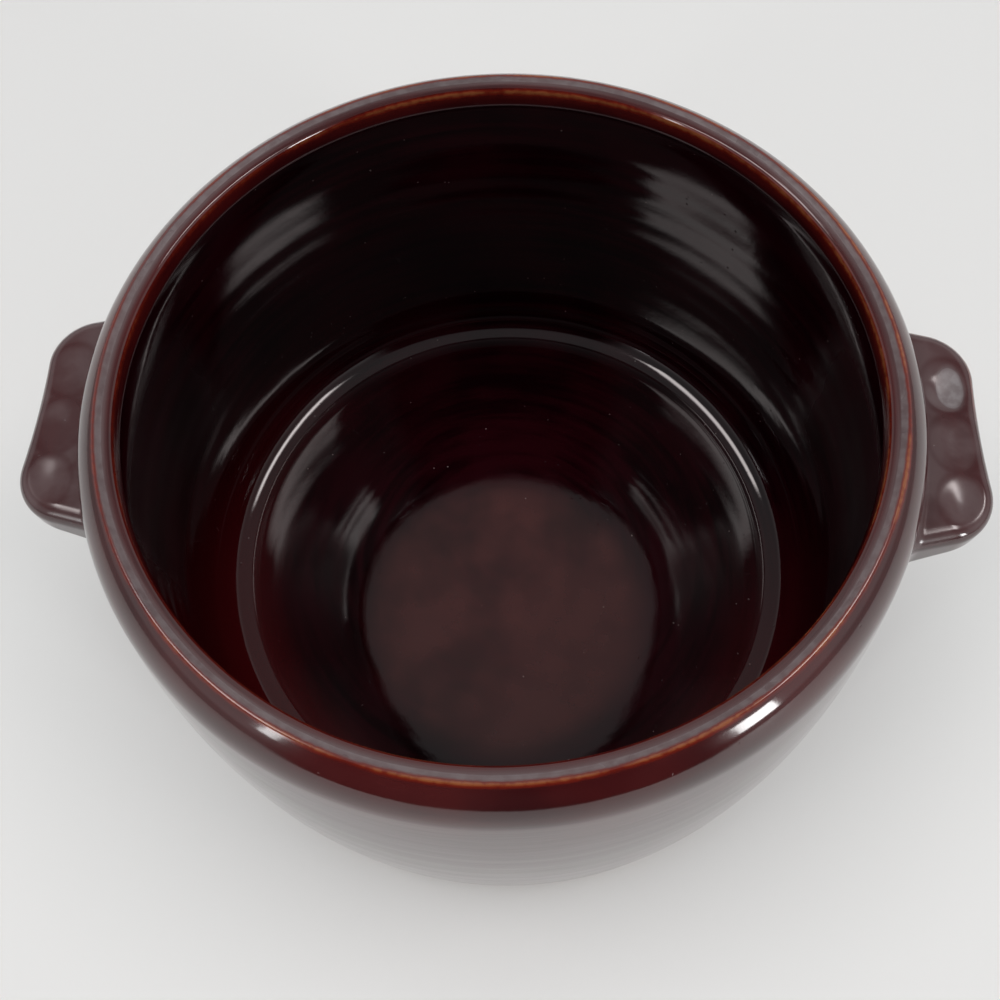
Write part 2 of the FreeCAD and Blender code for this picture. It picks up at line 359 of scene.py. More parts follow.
@dataclass(frozen=True)
class Outline:
    """The turned outline at a skin over the clay: 0 is clay, the glaze's thickness is glazed."""

    sizes: TurnedSizes
    skin: float
    fine: float = 1.0
    settling: Settling = Settling()

    @property
    def steps(self) -> RunSteps:
        """The steps of its runs, scaled by how fine the outline is."""
        return RunSteps().scaled(self.fine)

    def room(self) -> np.ndarray:
        """The outline from the floor's middle up the wall, over the collar to the lip's round.

        Returns:
            Points of radius and height, from the axis outwards.
        """
        size, skin, steps = self.sizes, self.skin, self.steps
        dome = size.hollow_radius + size.floor_thick + skin
        inner = size.barrel_radius - size.wall - skin
        corner = size.corner_centre
        floor_end = size.dome_centre + unit(corner - size.dome_centre) * dome
        wall_foot = size.barrel_centre + unit(corner - size.barrel_centre) * inner

        slope = math.radians(size.collar_slope)
        heading = point(math.cos(slope), -math.sin(slope))
        square = point(-math.sin(slope), -math.cos(slope))
        turn = math.radians(90 - size.collar_slope)
        collar = point(size.mouth_radius - skin, size.collar_foot - skin * math.tan(turn / 2))
        hollow = size.undercut_round - skin
        centre = line_leaves(collar + square * hollow, heading, size.barrel_centre, inner - hollow)
        wall_end = size.barrel_centre + unit(centre - size.barrel_centre) * inner
        cone_foot = centre - square * hollow
        collar_arc = rounded_corner(
            cone_foot, collar, collar + point(0, 1), size.collar_round + skin, steps.collar_round
        )
        lip_arc = self.lip_arc()
        return self.settling.settled(joined([
            arc(size.dome_centre, size.dome_centre + point(0, dome), floor_end, steps.floor),
            arc(corner, floor_end, wall_foot, steps.corner),
            arc(size.barrel_centre, wall_foot, wall_end, steps.wall),
            arc(centre, wall_end, cone_foot, steps.undercut),
            straight(cone_foot, collar_arc[0], steps.cone),
            collar_arc,
            straight(collar_arc[-1], lip_arc[0], steps.collar),
            lip_arc,
        ]))

    def seat_point(self) -> np.ndarray:
        """A point on the line of the lid seat.

        Returns:
            The point above the ridge of the clay.
        """
        size = self.sizes
        square = unit(point(-size.lip_drop, size.seat_width))
        return point(size.rim_radius, size.height) + square * self.skin

    def lip_arc(self) -> np.ndarray:
        """The round between the collar and the lid seat.

        Returns:
            Points of radius and height, from the collar up.
        """
        size = self.sizes
        seat = self.seat_point()
        radius = size.mouth_radius - self.skin
        fall = (seat[0] - radius) * size.lip_drop / size.seat_width
        lip = point(radius, seat[1] - fall)
        return rounded_corner(
            lip - point(0, 1), lip, seat, size.lip_round + self.skin, self.steps.lip
        )

    def outside(self, lowest: float) -> np.ndarray:
        """The outline from the lip over the ridge and the shoulder down the wall.

        Args:
            lowest: Height at which it ends, on the corner between wall and foot.

        Returns:
            Points of radius and height, from the lid seat down.
        """
        size, skin, steps = self.sizes, self.skin, self.steps
        heading = unit(point(size.seat_width, size.lip_drop))
        square = unit(point(-size.lip_drop, size.seat_width))
        roll = size.shoulder_radius + skin
        edge = size.ridge_round + skin
        under = self.seat_point() - square * edge - heading * size.seat_width
        ridge = line_leaves(under, heading, size.shoulder_centre, roll - edge)
        seat_end = ridge + square * edge
        roll_start = size.shoulder_centre + unit(ridge - size.shoulder_centre) * roll
        barrel = size.barrel_radius + skin
        wall_top = size.barrel_centre + unit(size.shoulder_centre - size.barrel_centre) * barrel
        wall_foot = size.barrel_centre + unit(size.base_centre - size.barrel_centre) * barrel
        base = size.base_round + skin
        drop = size.base_centre[1] - lowest
        end = size.base_centre + point(math.sqrt(base**2 - drop**2), -drop)
        return joined([
            straight(self.lip_arc()[-1], seat_end, steps.seat),
            arc(ridge, seat_end, roll_start, steps.ridge),
            arc(size.shoulder_centre, roll_start, wall_top, steps.shoulder),
            arc(size.barrel_centre, wall_top, wall_foot, steps.barrel),
            arc(size.base_centre, wall_foot, end, steps.base),
        ])

    def foot(self) -> np.ndarray:
        """The outline of the dry foot.

        Returns:
            Points of radius and height, from the stand over the ring's inner
            edge to the axis.
        """
        size, steps = self.sizes, self.steps
        base = size.base_centre
        stand = point(base[0], 0)
        edge = point(size.foot_inner, 0)
        rim = point(size.foot_inner, size.foot_depth)
        edge_arc = rounded_corner(stand, edge, rim, size.foot_round, steps.foot_round)
        middle = point(0, size.foot_depth + size.dome_rise)
        return joined([
            straight(stand, edge_arc[0], steps.stand),
            edge_arc,
            straight(edge_arc[-1], rim, 1),
            arc(size.dome_centre, rim, middle, steps.hollow),
        ])


# ---------------------------------------------------------------- the hand that made it
@dataclass(frozen=True)
class PottersHand:
    """The gentle unevenness of a pot that is turned and dried, given to every piece alike.

    The rim is a little narrower across one way than the other, it dips a
    little on one side, and the wall carries faint turning waves.
    """

    height: float
    squash: float = 0.5
    squash_turn: float = 0.35
    dip: float = 0.18
    dip_turn: float = 2.1
    wave: float = 0.035
    wave_length: float = 9.0
    middle_radius: float = 60.0

    def shaped(self, places: np.ndarray) -> np.ndarray:
        """Places with the unevenness in them.

        The radius shrinks by up to squash at the rim, as one minus the cosine
        of twice the angle does, and fades with the square of the height
        towards the foot. The height drops by up to dip, with the cosine of the
        angle. The radius also swings with a sine of the height. Both are less
        near the axis.

        Args:
            places: Array of X, Y and Z, in millimetres.

        Returns:
            The moved places.
        """
        radius = np.hypot(places[..., 0], places[..., 1])
        angle = np.arctan2(places[..., 1], places[..., 0])
        rise = np.clip(places[..., 2] / self.height, 0, 1)
        shrink = self.squash * rise**2 * (1 - np.cos(2 * (angle - self.squash_turn))) / 2
        ripple = self.wave * (np.sin(places[..., 2] * 2 * math.pi / self.wave_length) - 1)
        share = np.clip(radius / self.middle_radius, 0, 1)
        scale = 1 - (shrink - ripple * np.sin(rise * math.pi) ** 2) * share / np.maximum(radius, 1)
        drop = self.dip * rise**3 * (1 + np.cos(angle - self.dip_turn)) / 2
        return np.stack([places[..., 0] * scale, places[..., 1] * scale, places[..., 2] - drop], -1)


# ---------------------------------------------------------------- grids to meshes
def turned_grid(outline: np.ndarray, columns: int) -> np.ndarray:
    """The surface that an outline sweeps when it turns about the pot's axis.

    At the angle a and the outline's point (r, z) it is (r cos a, r sin a, z).

    Args:
        outline: Points of radius and height.
        columns: Steps of the full turn.

    Returns:
        Array of outline points by columns by 3.
    """
    angle = np.arange(columns) * 2 * math.pi / columns
    radius, height = outline[:, :1], outline[:, 1:]
    return np.stack([
        radius * np.cos(angle), radius * np.sin(angle), np.repeat(height, columns, axis=1)
    ], -1)


def grid_faces(rows: int, columns: int) -> np.ndarray:
    """Four-cornered faces of a grid whose columns close into a ring.

    Args:
        rows: Rows of the grid.
        columns: Columns of the grid.

    Returns:
        Array of faces by 4 vertex numbers.
    """
    row = np.arange(rows - 1)[:, None] * columns
    column = np.arange(columns)[None, :]
    following = (column + 1) % columns
    above = row + columns
    faces = np.stack([row + column, above + column, above + following, row + following], -1)
    return faces.reshape(-1, 4)


def mesh_piece(name: str, places: np.ndarray, faces: np.ndarray, marks: dict[str, np.ndarray],
               merge: float = 1e-7) -> bpy.types.Object:
    """A mesh object from places and faces, with its doubles merged and smooth shading.

    Args:
        name: Name of the piece.
        places: Array of vertices by 3, in millimetres.
        faces: Array of faces by 4 vertex numbers.
        marks: Values for each vertex, stored as attributes by name.
        merge: Distance in metres under which vertices become one.

    Returns:
        The new object, linked to the scene, at the origin.
    """
    mesh = bpy.data.meshes.new(name)
    mesh.vertices.add(len(places))
    mesh.vertices.foreach_set("co", (places * MM).astype(np.float32).ravel())
    mesh.loops.add(faces.size)
    mesh.loops.foreach_set("vertex_index", faces.astype(np.int32).ravel())
    mesh.polygons.add(len(faces))
    mesh.polygons.foreach_set("loop_start", np.arange(0, faces.size, 4, dtype=np.int32))
    mesh.update(calc_edges=True)
    for label, values in marks.items():
        mark = mesh.attributes.new(label, "FLOAT", "POINT")
        mark.data.foreach_set("value", values.astype(np.float32).ravel())
    piece = bpy.data.objects.new(name, mesh)
    bpy.context.scene.collection.objects.link(piece)
    weld_and_face_out(mesh, merge)
    mesh.polygons.foreach_set("use_smooth", np.ones(len(mesh.polygons), dtype=bool))
    mesh.update()
    return piece


def weld_and_face_out(mesh: bpy.types.Mesh, merge: float) -> None:
    """Merges doubled vertices, drops faces without area and turns all faces outwards.

    Args:
        mesh: The mesh.
        merge: Distance in metres under which vertices become one.
    """
    work = bmesh.new()
    work.from_mesh(mesh)
    bmesh.ops.remove_doubles(work, verts=work.verts, dist=merge)
    bmesh.ops.dissolve_degenerate(work, edges=work.edges, dist=merge)
    bmesh.ops.recalc_face_normals(work, faces=work.faces)
    work.to_mesh(mesh)
    work.free()


# ---------------------------------------------------------------- lug form
@dataclass(frozen=True)
class LugSizes:
    """Sizes of one lug, as the CAD has them."""

    out: float = 17.0
    length: float = 49.0
    flare: float = 13.0
    drop: float = 22.0
    tip: float = 8.5
    slope: float = 14.0
    corner: float = 12.0
    waist: float = 0.5
    upper_round: float = 3.4
    lower_round: float = 3.5
    root_round: float = 3.5
    dimple_in: float = 7.2
    dimple_half: float = 6.2


@dataclass(frozen=True)
class LugFilmAndSheen:
    """The dull film on a lug and the painted reflection and highlight it carries, in shares of the full film;
    a pair is where a soft step starts and ends.
    """

    level: float = 0.32
    by_wall: float = 0.30
    rim_loss: float = 0.20
    most: float = 2.0
    wall_ends: Pair = (-15.0, -5.0)
    below_face: Pair = (-3.5, -1.2)
    rim_width: float = 0.28
    spot: Pair = (0.15, -0.05)
    spot_narrow: Pair = (1.9, 0.85)
    spot_ends: Pair = (-0.75, -0.12)


@dataclass(frozen=True)
class LugForm:
    """The glazed lug at +X as a field: negative inside clay and glaze, positive outside."""

    turned: TurnedSizes
    sizes: LugSizes
    depths: Three
    slants: Three
    films_and_sheen: Three
    shift: float
    film_and_sheen: LugFilmAndSheen = LugFilmAndSheen()
    worn_width: float = 0.35
    worn_ends: Pair = (-4.0, 10.0)

    @property
    def top(self) -> float:
        """Height of the glazed upper face."""
        return self.turned.height - self.sizes.drop + self.turned.glaze

    @property
    def reach(self) -> float:
        """Distance of the glazed outer edge from the pot's axis."""
        return self.turned.barrel_at(self.top - self.turned.glaze) + self.sizes.out + self.turned.glaze

    @property
    def corner_place(self) -> float:
        """How far the middle of a corner lies from the lug's middle line."""
        turn = math.radians(self.sizes.flare)
        return self.sizes.length / 2 - self.sizes.corner * math.tan(math.pi / 4 - turn / 2)

    def plan(self, places: np.ndarray) -> np.ndarray:
        """Distance from the lug's outline seen from above.

        The outline is the deepest of three: the waisted outer edge, a large
        circle outside the lug; the two flared ends, straight lines; and the
        two corner circles, which count only beyond their own middles.

        Args:
            places: Array of places by 3.

        Returns:
            One distance for each place, negative inside.
        """
        size = self.sizes
        turn = math.radians(size.flare)
        across = np.abs(places[..., 1])
        corner = size.corner + self.turned.glaze
        middle_x = self.reach - corner
        middle_y = self.corner_place
        arm = (size.waist**2 + middle_y**2) / (2 * size.waist)
        waist = (arm - corner) - np.hypot(places[..., 0] - (middle_x + arm - size.waist), across)
        end = (places[..., 0] - middle_x) * math.sin(turn) + (across - middle_y) * math.cos(turn) - corner
        round_ = np.hypot(places[..., 0] - middle_x, across - middle_y) - corner
        beyond_end = (places[..., 0] - middle_x) * math.cos(turn) > (across - middle_y) * math.sin(turn)
        beyond_edge = (across - middle_y) * (arm - size.waist) > -(places[..., 0] - middle_x) * middle_y
        in_corner = beyond_end & beyond_edge
        return np.where(in_corner, round_, np.maximum(np.where(beyond_end, -FAR, end), waist))

    def dishes(self, places: np.ndarray) -> tuple[np.ndarray, np.ndarray, np.ndarray]:
        """Where each place lies in its finger dimple.

        Args:
            places: Array of places by 3.

        Returns:
            The places across and along the dimple, from -1 to 1, and the
            dimple's number.
        """
        pitch = self.corner_place
        number = np.clip(np.round((places[..., 1] - self.shift) / pitch), -1, 1).astype(int)
        middle = self.reach - self.turned.glaze - self.sizes.dimple_in
        across = (places[..., 0] - middle) / self.sizes.dimple_half
        along = (places[..., 1] - self.shift - number * pitch) / (pitch / 2)
        return across, along, number + 1

    def face(self, places: np.ndarray) -> np.ndarray:
        """Distance above the upper face, with its finger dimples pressed in.

        A dimple's depth falls as the square of one minus the squared distance
        from its middle, so it runs out level at its rim. A slanted dimple also
        tips its floor along the lug.

        Args:
            places: Array of places by 3.

        Returns:
            One distance for each place, negative below the face.
        """
        across, along, number = self.dishes(places)
        share = np.clip(1 - across**2 - along**2, 0, 1) ** 2
        slant = np.array(self.slants)[number] * self.corner_place / 2
        return places[..., 2] - self.top + share * (np.array(self.depths)[number] - slant * along)

    def film_and_sheen_on(self, places: np.ndarray) -> np.ndarray:
        """How much of the dull film and painted reflection lies on each place of the upper face.

        It grows by a soft step towards the wall and in an oval within each
        dimple, which is a painted highlight, and falls as a bell about the dimple's rim.

        Args:
            places: Array of places by 3.

        Returns:
            One value for each place.
        """
        film_and_sheen = self.film_and_sheen
        across, along, number = self.dishes(places)
        by_wall = 1 - smooth_step(places[..., 0] - self.reach, *film_and_sheen.wall_ends)
        up = smooth_step(places[..., 2] - self.top, *film_and_sheen.below_face)
        rim = np.exp(-(((across**2 + along**2 - 1) / film_and_sheen.rim_width) ** 2))
        slim = film_and_sheen.spot_narrow[0] * (across - film_and_sheen.spot[0]) ** 2
        slim = slim + film_and_sheen.spot_narrow[1] * (along - film_and_sheen.spot[1]) ** 2
        pressed = smooth_step(-slim, *film_and_sheen.spot_ends) * np.array(self.films_and_sheen)[number]
        level = film_and_sheen.level + film_and_sheen.by_wall * by_wall - film_and_sheen.rim_loss * rim + pressed
        return up * np.clip(level, 0, film_and_sheen.most)

    def worn_edge(self, places: np.ndarray, side: float) -> np.ndarray:
        """How thin the glaze runs on the upper outer edge, from 0 to 1, on the half away from the eye.

        It is a bell about the middle of the edge's round, times a soft step
        along the lug.

        Args:
            places: Array of places by 3.
            side: The sign of Y towards which the edge is worn.

        Returns:
            One value for each place.
        """
        middle = (self.sizes.upper_round + self.turned.glaze) * (1 - math.sqrt(0.5))
        away = (self.plan(places) + middle) ** 2 + (self.face(places) + middle) ** 2
        return np.exp(-away / self.worn_width) * smooth_step(places[..., 1] * side, *self.worn_ends)

    def wall_radius(self, height: float) -> float:
        """Radius of the glazed wall at a height."""
        return self.turned.barrel_at(height) + self.turned.glaze

    def under(self, places: np.ndarray) -> np.ndarray:
        """Distance below the sloping underside.

        Args:
            places: Array of places by 3.

        Returns:
            One distance for each place, negative above it.
        """
        size = self.sizes
        slope = math.radians(size.slope)
        low = self.top - self.turned.glaze - size.tip - self.turned.glaze / math.cos(slope)
        edge = self.reach - self.turned.glaze
        return (low - (edge - places[..., 0]) * math.tan(slope) - places[..., 2]) * math.cos(slope)

    def wall(self, places: np.ndarray) -> np.ndarray:
        """Distance outside the glazed wall.

        Args:
            places: Array of places by 3.

        Returns:
            One distance for each place, negative within the wall.
        """
        centre = self.turned.barrel_centre
        radius = np.hypot(places[..., 0], places[..., 1])
        reach = np.hypot(radius - centre[0], places[..., 2] - centre[1])
        return reach - self.turned.barrel_radius - self.turned.glaze

    def field(self, places: np.ndarray) -> np.ndarray:
        """The lug run out onto the wall: distance from its glazed surface.

        Args:
            places: Array of places by 3.

        Returns:
            One distance for each place, negative inside.
        """
        size, skin = self.sizes, self.turned.glaze
        lug = rounded_more(self.plan(places), self.face(places), size.upper_round + skin)
        lug = rounded_more(lug, self.under(places), size.lower_round + skin)
        return rounded_less(lug, self.wall(places), size.root_round - skin)


def rounded_more(first: np.ndarray, second: np.ndarray, radius: float) -> np.ndarray:
    """The larger of two distances, with the edge between them rounded."""
    inside = np.minimum(-radius, np.maximum(first, second))
    return inside + np.hypot(np.maximum(first + radius, 0), np.maximum(second + radius, 0))


def rounded_less(first: np.ndarray, second: np.ndarray, radius: float) -> np.ndarray:
    """The smaller of two distances, with the hollow between them rounded."""
    outside = np.maximum(radius, np.minimum(first, second))
    return outside - np.hypot(np.maximum(radius - first, 0), np.maximum(radius - second, 0))


def surface_along(form: Field, starts: np.ndarray, headings: np.ndarray, far: float) -> np.ndarray:
    """Where rays from one side of a form's surface cross it, by halving the step.

    Args:
        form: Distance from the surface.
        starts: Array of places by 3.
        headings: Unit directions by 3.
        far: Length of the rays.

    Returns:
        The places on the surface.
    """
    low = np.zeros(starts.shape[:-1])
    high = np.full(starts.shape[:-1], far)
    sign = np.sign(form(starts))
    for _ in range(HALVINGS):
        middle = (low + high) / 2
        same = np.sign(form(starts + headings * middle[..., None])) == sign
        low = np.where(same, middle, low)
        high = np.where(same, high, middle)
    return starts + headings * ((low + high) / 2)[..., None]


def mean_bend(form: Field, places: np.ndarray, step: float) -> np.ndarray:
    """How sharply a form's surface bends: the spread of its distance about each place.

    It is the sum of the second differences along X, Y and Z, so a round edge
    gives one over its radius and a hollow gives the same below nought.

    Args:
        form: Distance from the surface.
        places: Array of places by 3.
        step: Step of the differences.

    Returns:
        One value for each place.
    """
    total = -6 * form(places)
    for shift in np.concatenate([np.eye(3), -np.eye(3)]) * step:
        total = total + form(places + shift)
    return total / step**2


# ---------------------------------------------------------------- node shorthand
class Nodes:
    """A short way to lay and link the nodes of one tree."""

    def __init__(self, tree: bpy.types.NodeTree) -> None:
        """Starts on an empty node tree."""
        self.tree = tree
        tree.nodes.clear()

    def add(self, kind: str, **values: object) -> bpy.types.Node:
        """A new node, with properties or unlinked sockets set by name.

        Args:
            kind: The node's type name.
            values: Properties of the node, or values of its sockets with _ for a space.

        Returns:
            The node.
        """
        node = self.tree.nodes.new(kind)
        for name, value in values.items():
            if hasattr(node, name):
                setattr(node, name, value)
            else:
                node.inputs[name.replace("_", " ")].default_value = value
        return node

    def feed(self, target: Socket, value: object) -> None:
        """Links a socket to an input, or sets the input to a plain value.

        Args:
            target: The input.
            value: A socket, a number or a colour.
        """
        if isinstance(value, Socket):
            self.tree.links.new(value, target)
        else:
            target.default_value = (*value, 1.0) if isinstance(value, tuple) else value

    def math(self, operation: str, *values: object) -> Socket:
        """A Math node on sockets or plain numbers.

        Args:
            operation: Name of the operation.
            values: Its inputs, in order.

        Returns:
            The result.
        """
        node = self.add("ShaderNodeMath", operation=operation)
        for target, value in zip(node.inputs, values):
            self.feed(target, value)
        return node.outputs[0]

    def times(self, first: object, *others: object) -> Socket:
        """The product of sockets or plain numbers.

        Args:
            first: The first factor.
            others: The other factors.

        Returns:
            The product.
        """
        for value in others:
            first = self.math("MULTIPLY", first, value)
        return first

    def ranged(self, value: Socket, low: float, high: float, least: float = 0.0,
               most: float = 1.0) -> Socket:
        """A value carried smoothly from one range to another.

        Args:
            value: The value.
            low: Where the first range starts.
            high: Where it ends.
            least: What low becomes.
            most: What high becomes.

        Returns:
            The carried value.
        """
        node = self.add("ShaderNodeMapRange", interpolation_type="SMOOTHSTEP")
        for target, given in zip(node.inputs, (value, low, high, least, most)):
            self.feed(target, given)
        return node.outputs["Result"]

    def mixed(self, share: object, first: object, second: object) -> Socket:
        """A mix of two colours.

        Args:
            share: How much there is of the second one.
            first: A colour or a colour socket.
            second: A colour or a colour socket.

        Returns:
            The mixed colour.
        """
        node = self.add("ShaderNodeMix", data_type="RGBA")
        for slot, value in ((0, share), (6, first), (7, second)):
            self.feed(node.inputs[slot], value)
        return node.outputs[2]

    def dots(self, scale: float, edge: Pair) -> Socket:
        """Round dots, one in each of many random cells.

        Args:
            scale: Cells to the metre.
            edge: Share of a cell where a dot ends, and where it is full.

        Returns:
            A value from 0 to 1.
        """
        node = self.add("ShaderNodeTexVoronoi", Scale=scale, feature="F1")
        self.feed(node.inputs["Vector"], self.places())
        return self.ranged(node.outputs["Distance"], *edge)

    def bump(self, height: Socket, depth: float, over: Socket | None = None,
             strength: float = 1.0) -> Socket:
        """A bump, over an earlier one if there is one.

        Args:
            height: Height from 0 to 1.
            depth: Depth of the full height, in metres.
            over: The normal of an earlier bump.
            strength: Share of the bump.

        Returns:
            The normal.
        """
        node = self.add("ShaderNodeBump", Strength=strength, Distance=depth)
        self.feed(node.inputs["Height"], height)
        if over is not None:
            self.feed(node.inputs["Normal"], over)
        return node.outputs["Normal"]

    def split(self, vector: Socket) -> Sequence[Socket]:
        """The three parts of a vector.

        Args:
            vector: The vector.

        Returns:
            Its X, Y and Z.
        """
        node = self.add("ShaderNodeSeparateXYZ")
        self.feed(node.inputs[0], vector)
        return node.outputs

    def length(self, x: Socket, y: Socket) -> Socket:
        """The length of a vector: the root of the sum of its squares."""
        return self.math("SQRT", self.math("ADD", self.math("POWER", x, 2.0), self.math("POWER", y, 2.0)))

    def places(self) -> Socket:
        """The piece's own places, in metres."""
        return self.add("ShaderNodeTexCoord").outputs["Object"]

    def mark(self, name: str) -> Socket:
        """A mark that the mesh carries."""
        return self.add("ShaderNodeAttribute", attribute_name=name).outputs["Fac"]

    def out(self, shader: bpy.types.Node, kind: str = "Material") -> None:
        """Links a shader to a new output of the tree."""
        self.feed(self.add(f"ShaderNodeOutput{kind}").inputs["Surface"], shader.outputs[0])


def empty_material(name: str) -> tuple[bpy.types.Material, Nodes]:
    """A new material and its empty node tree.

    Args:
        name: Name of the material.

    Returns:
        The material and its nodes.
    """
    material = bpy.data.materials.new(name)
    material.use_nodes = True
    return material, Nodes(material.node_tree)


@dataclass(frozen=True)
class Pattern:
    """A soft random pattern: its scale and detail, and the ranges that it is carried from and to."""

    scale: float
    detail: float
    low: float = 0.0
    high: float = 1.0
    least: float = 0.0
    most: float = 1.0

    def plain(self, nodes: Nodes, where: Socket | None = None) -> Socket:
        """The pattern as it comes.

        Args:
            nodes: The material's nodes.
            where: The places that it lies on, if not the piece's own.

        Returns:
            A value about 0.5.
        """
        node = nodes.add("ShaderNodeTexNoise", Scale=self.scale, Detail=self.detail)
        nodes.feed(node.inputs["Vector"], where or nodes.places())
        return node.outputs["Fac"]

    def ranged(self, nodes: Nodes) -> Socket:
        """The pattern carried from low and high to least and most."""
        return nodes.ranged(self.plain(nodes), self.low, self.high, self.least, self.most)


# ---------------------------------------------------------------- finishes
@dataclass(frozen=True)
class Relief:
    """Turning waves, soft dents, fine turning lines, orange peel and pinholes of a glaze.

    Depths are in metres. The waves and the lines aren't on the lugs, the waves
    are weaker in the room, and the lines are filled there.
    """

    waves: Pattern = Pattern(0.28, 2.0)
    wave_depth: float = 0.00009
    waves_inside: float = 0.45
    dents: Pattern = Pattern(48.0, 1.0)
    dent_depth: float = 0.00010
    lines: Pattern = Pattern(2.6, 2.0)
    line_depth: float = 0.000022
    peel: Pattern = Pattern(420.0, 2.0)
    peel_depth: float = 0.000008
    pit_cells: float = 420.0
    pit_edge: Pair = (0.16, 0.04)
    pit_chance: Pattern = Pattern(300.0, 0.0)
    pit_above: float = 0.70
    pit_depth: float = 0.00006
    pit_strength: float = 0.8

    def normal(self, nodes: Nodes, turning: Socket) -> Socket:
        """The relief as a normal.

        Args:
            nodes: The material's nodes.
            turning: The places that follow the turning.

        Returns:
            The normal.
        """
        inside = nodes.mark("inside")
        turned = nodes.math("SUBTRACT", 1.0, nodes.mark("pressed"))
        weaker = nodes.ranged(inside, 0.0, 1.0, 1.0, self.waves_inside)
        waves = nodes.times(self.waves.plain(nodes, turning), turned, weaker)
        lines = nodes.times(
            self.lines.plain(nodes, turning), nodes.math("SUBTRACT", turned, inside)
        )
        chance = nodes.math("GREATER_THAN", self.pit_chance.plain(nodes), self.pit_above)
        pit = nodes.times(nodes.dots(self.pit_cells, self.pit_edge), chance)
        normal = nodes.bump(waves, self.wave_depth)
        normal = nodes.bump(self.dents.plain(nodes), self.dent_depth, normal)
        normal = nodes.bump(lines, self.line_depth, normal)
        normal = nodes.bump(self.peel.plain(nodes), self.peel_depth, normal)
        return nodes.bump(nodes.math("SUBTRACT", 1.0, pit), self.pit_depth, normal, self.pit_strength)


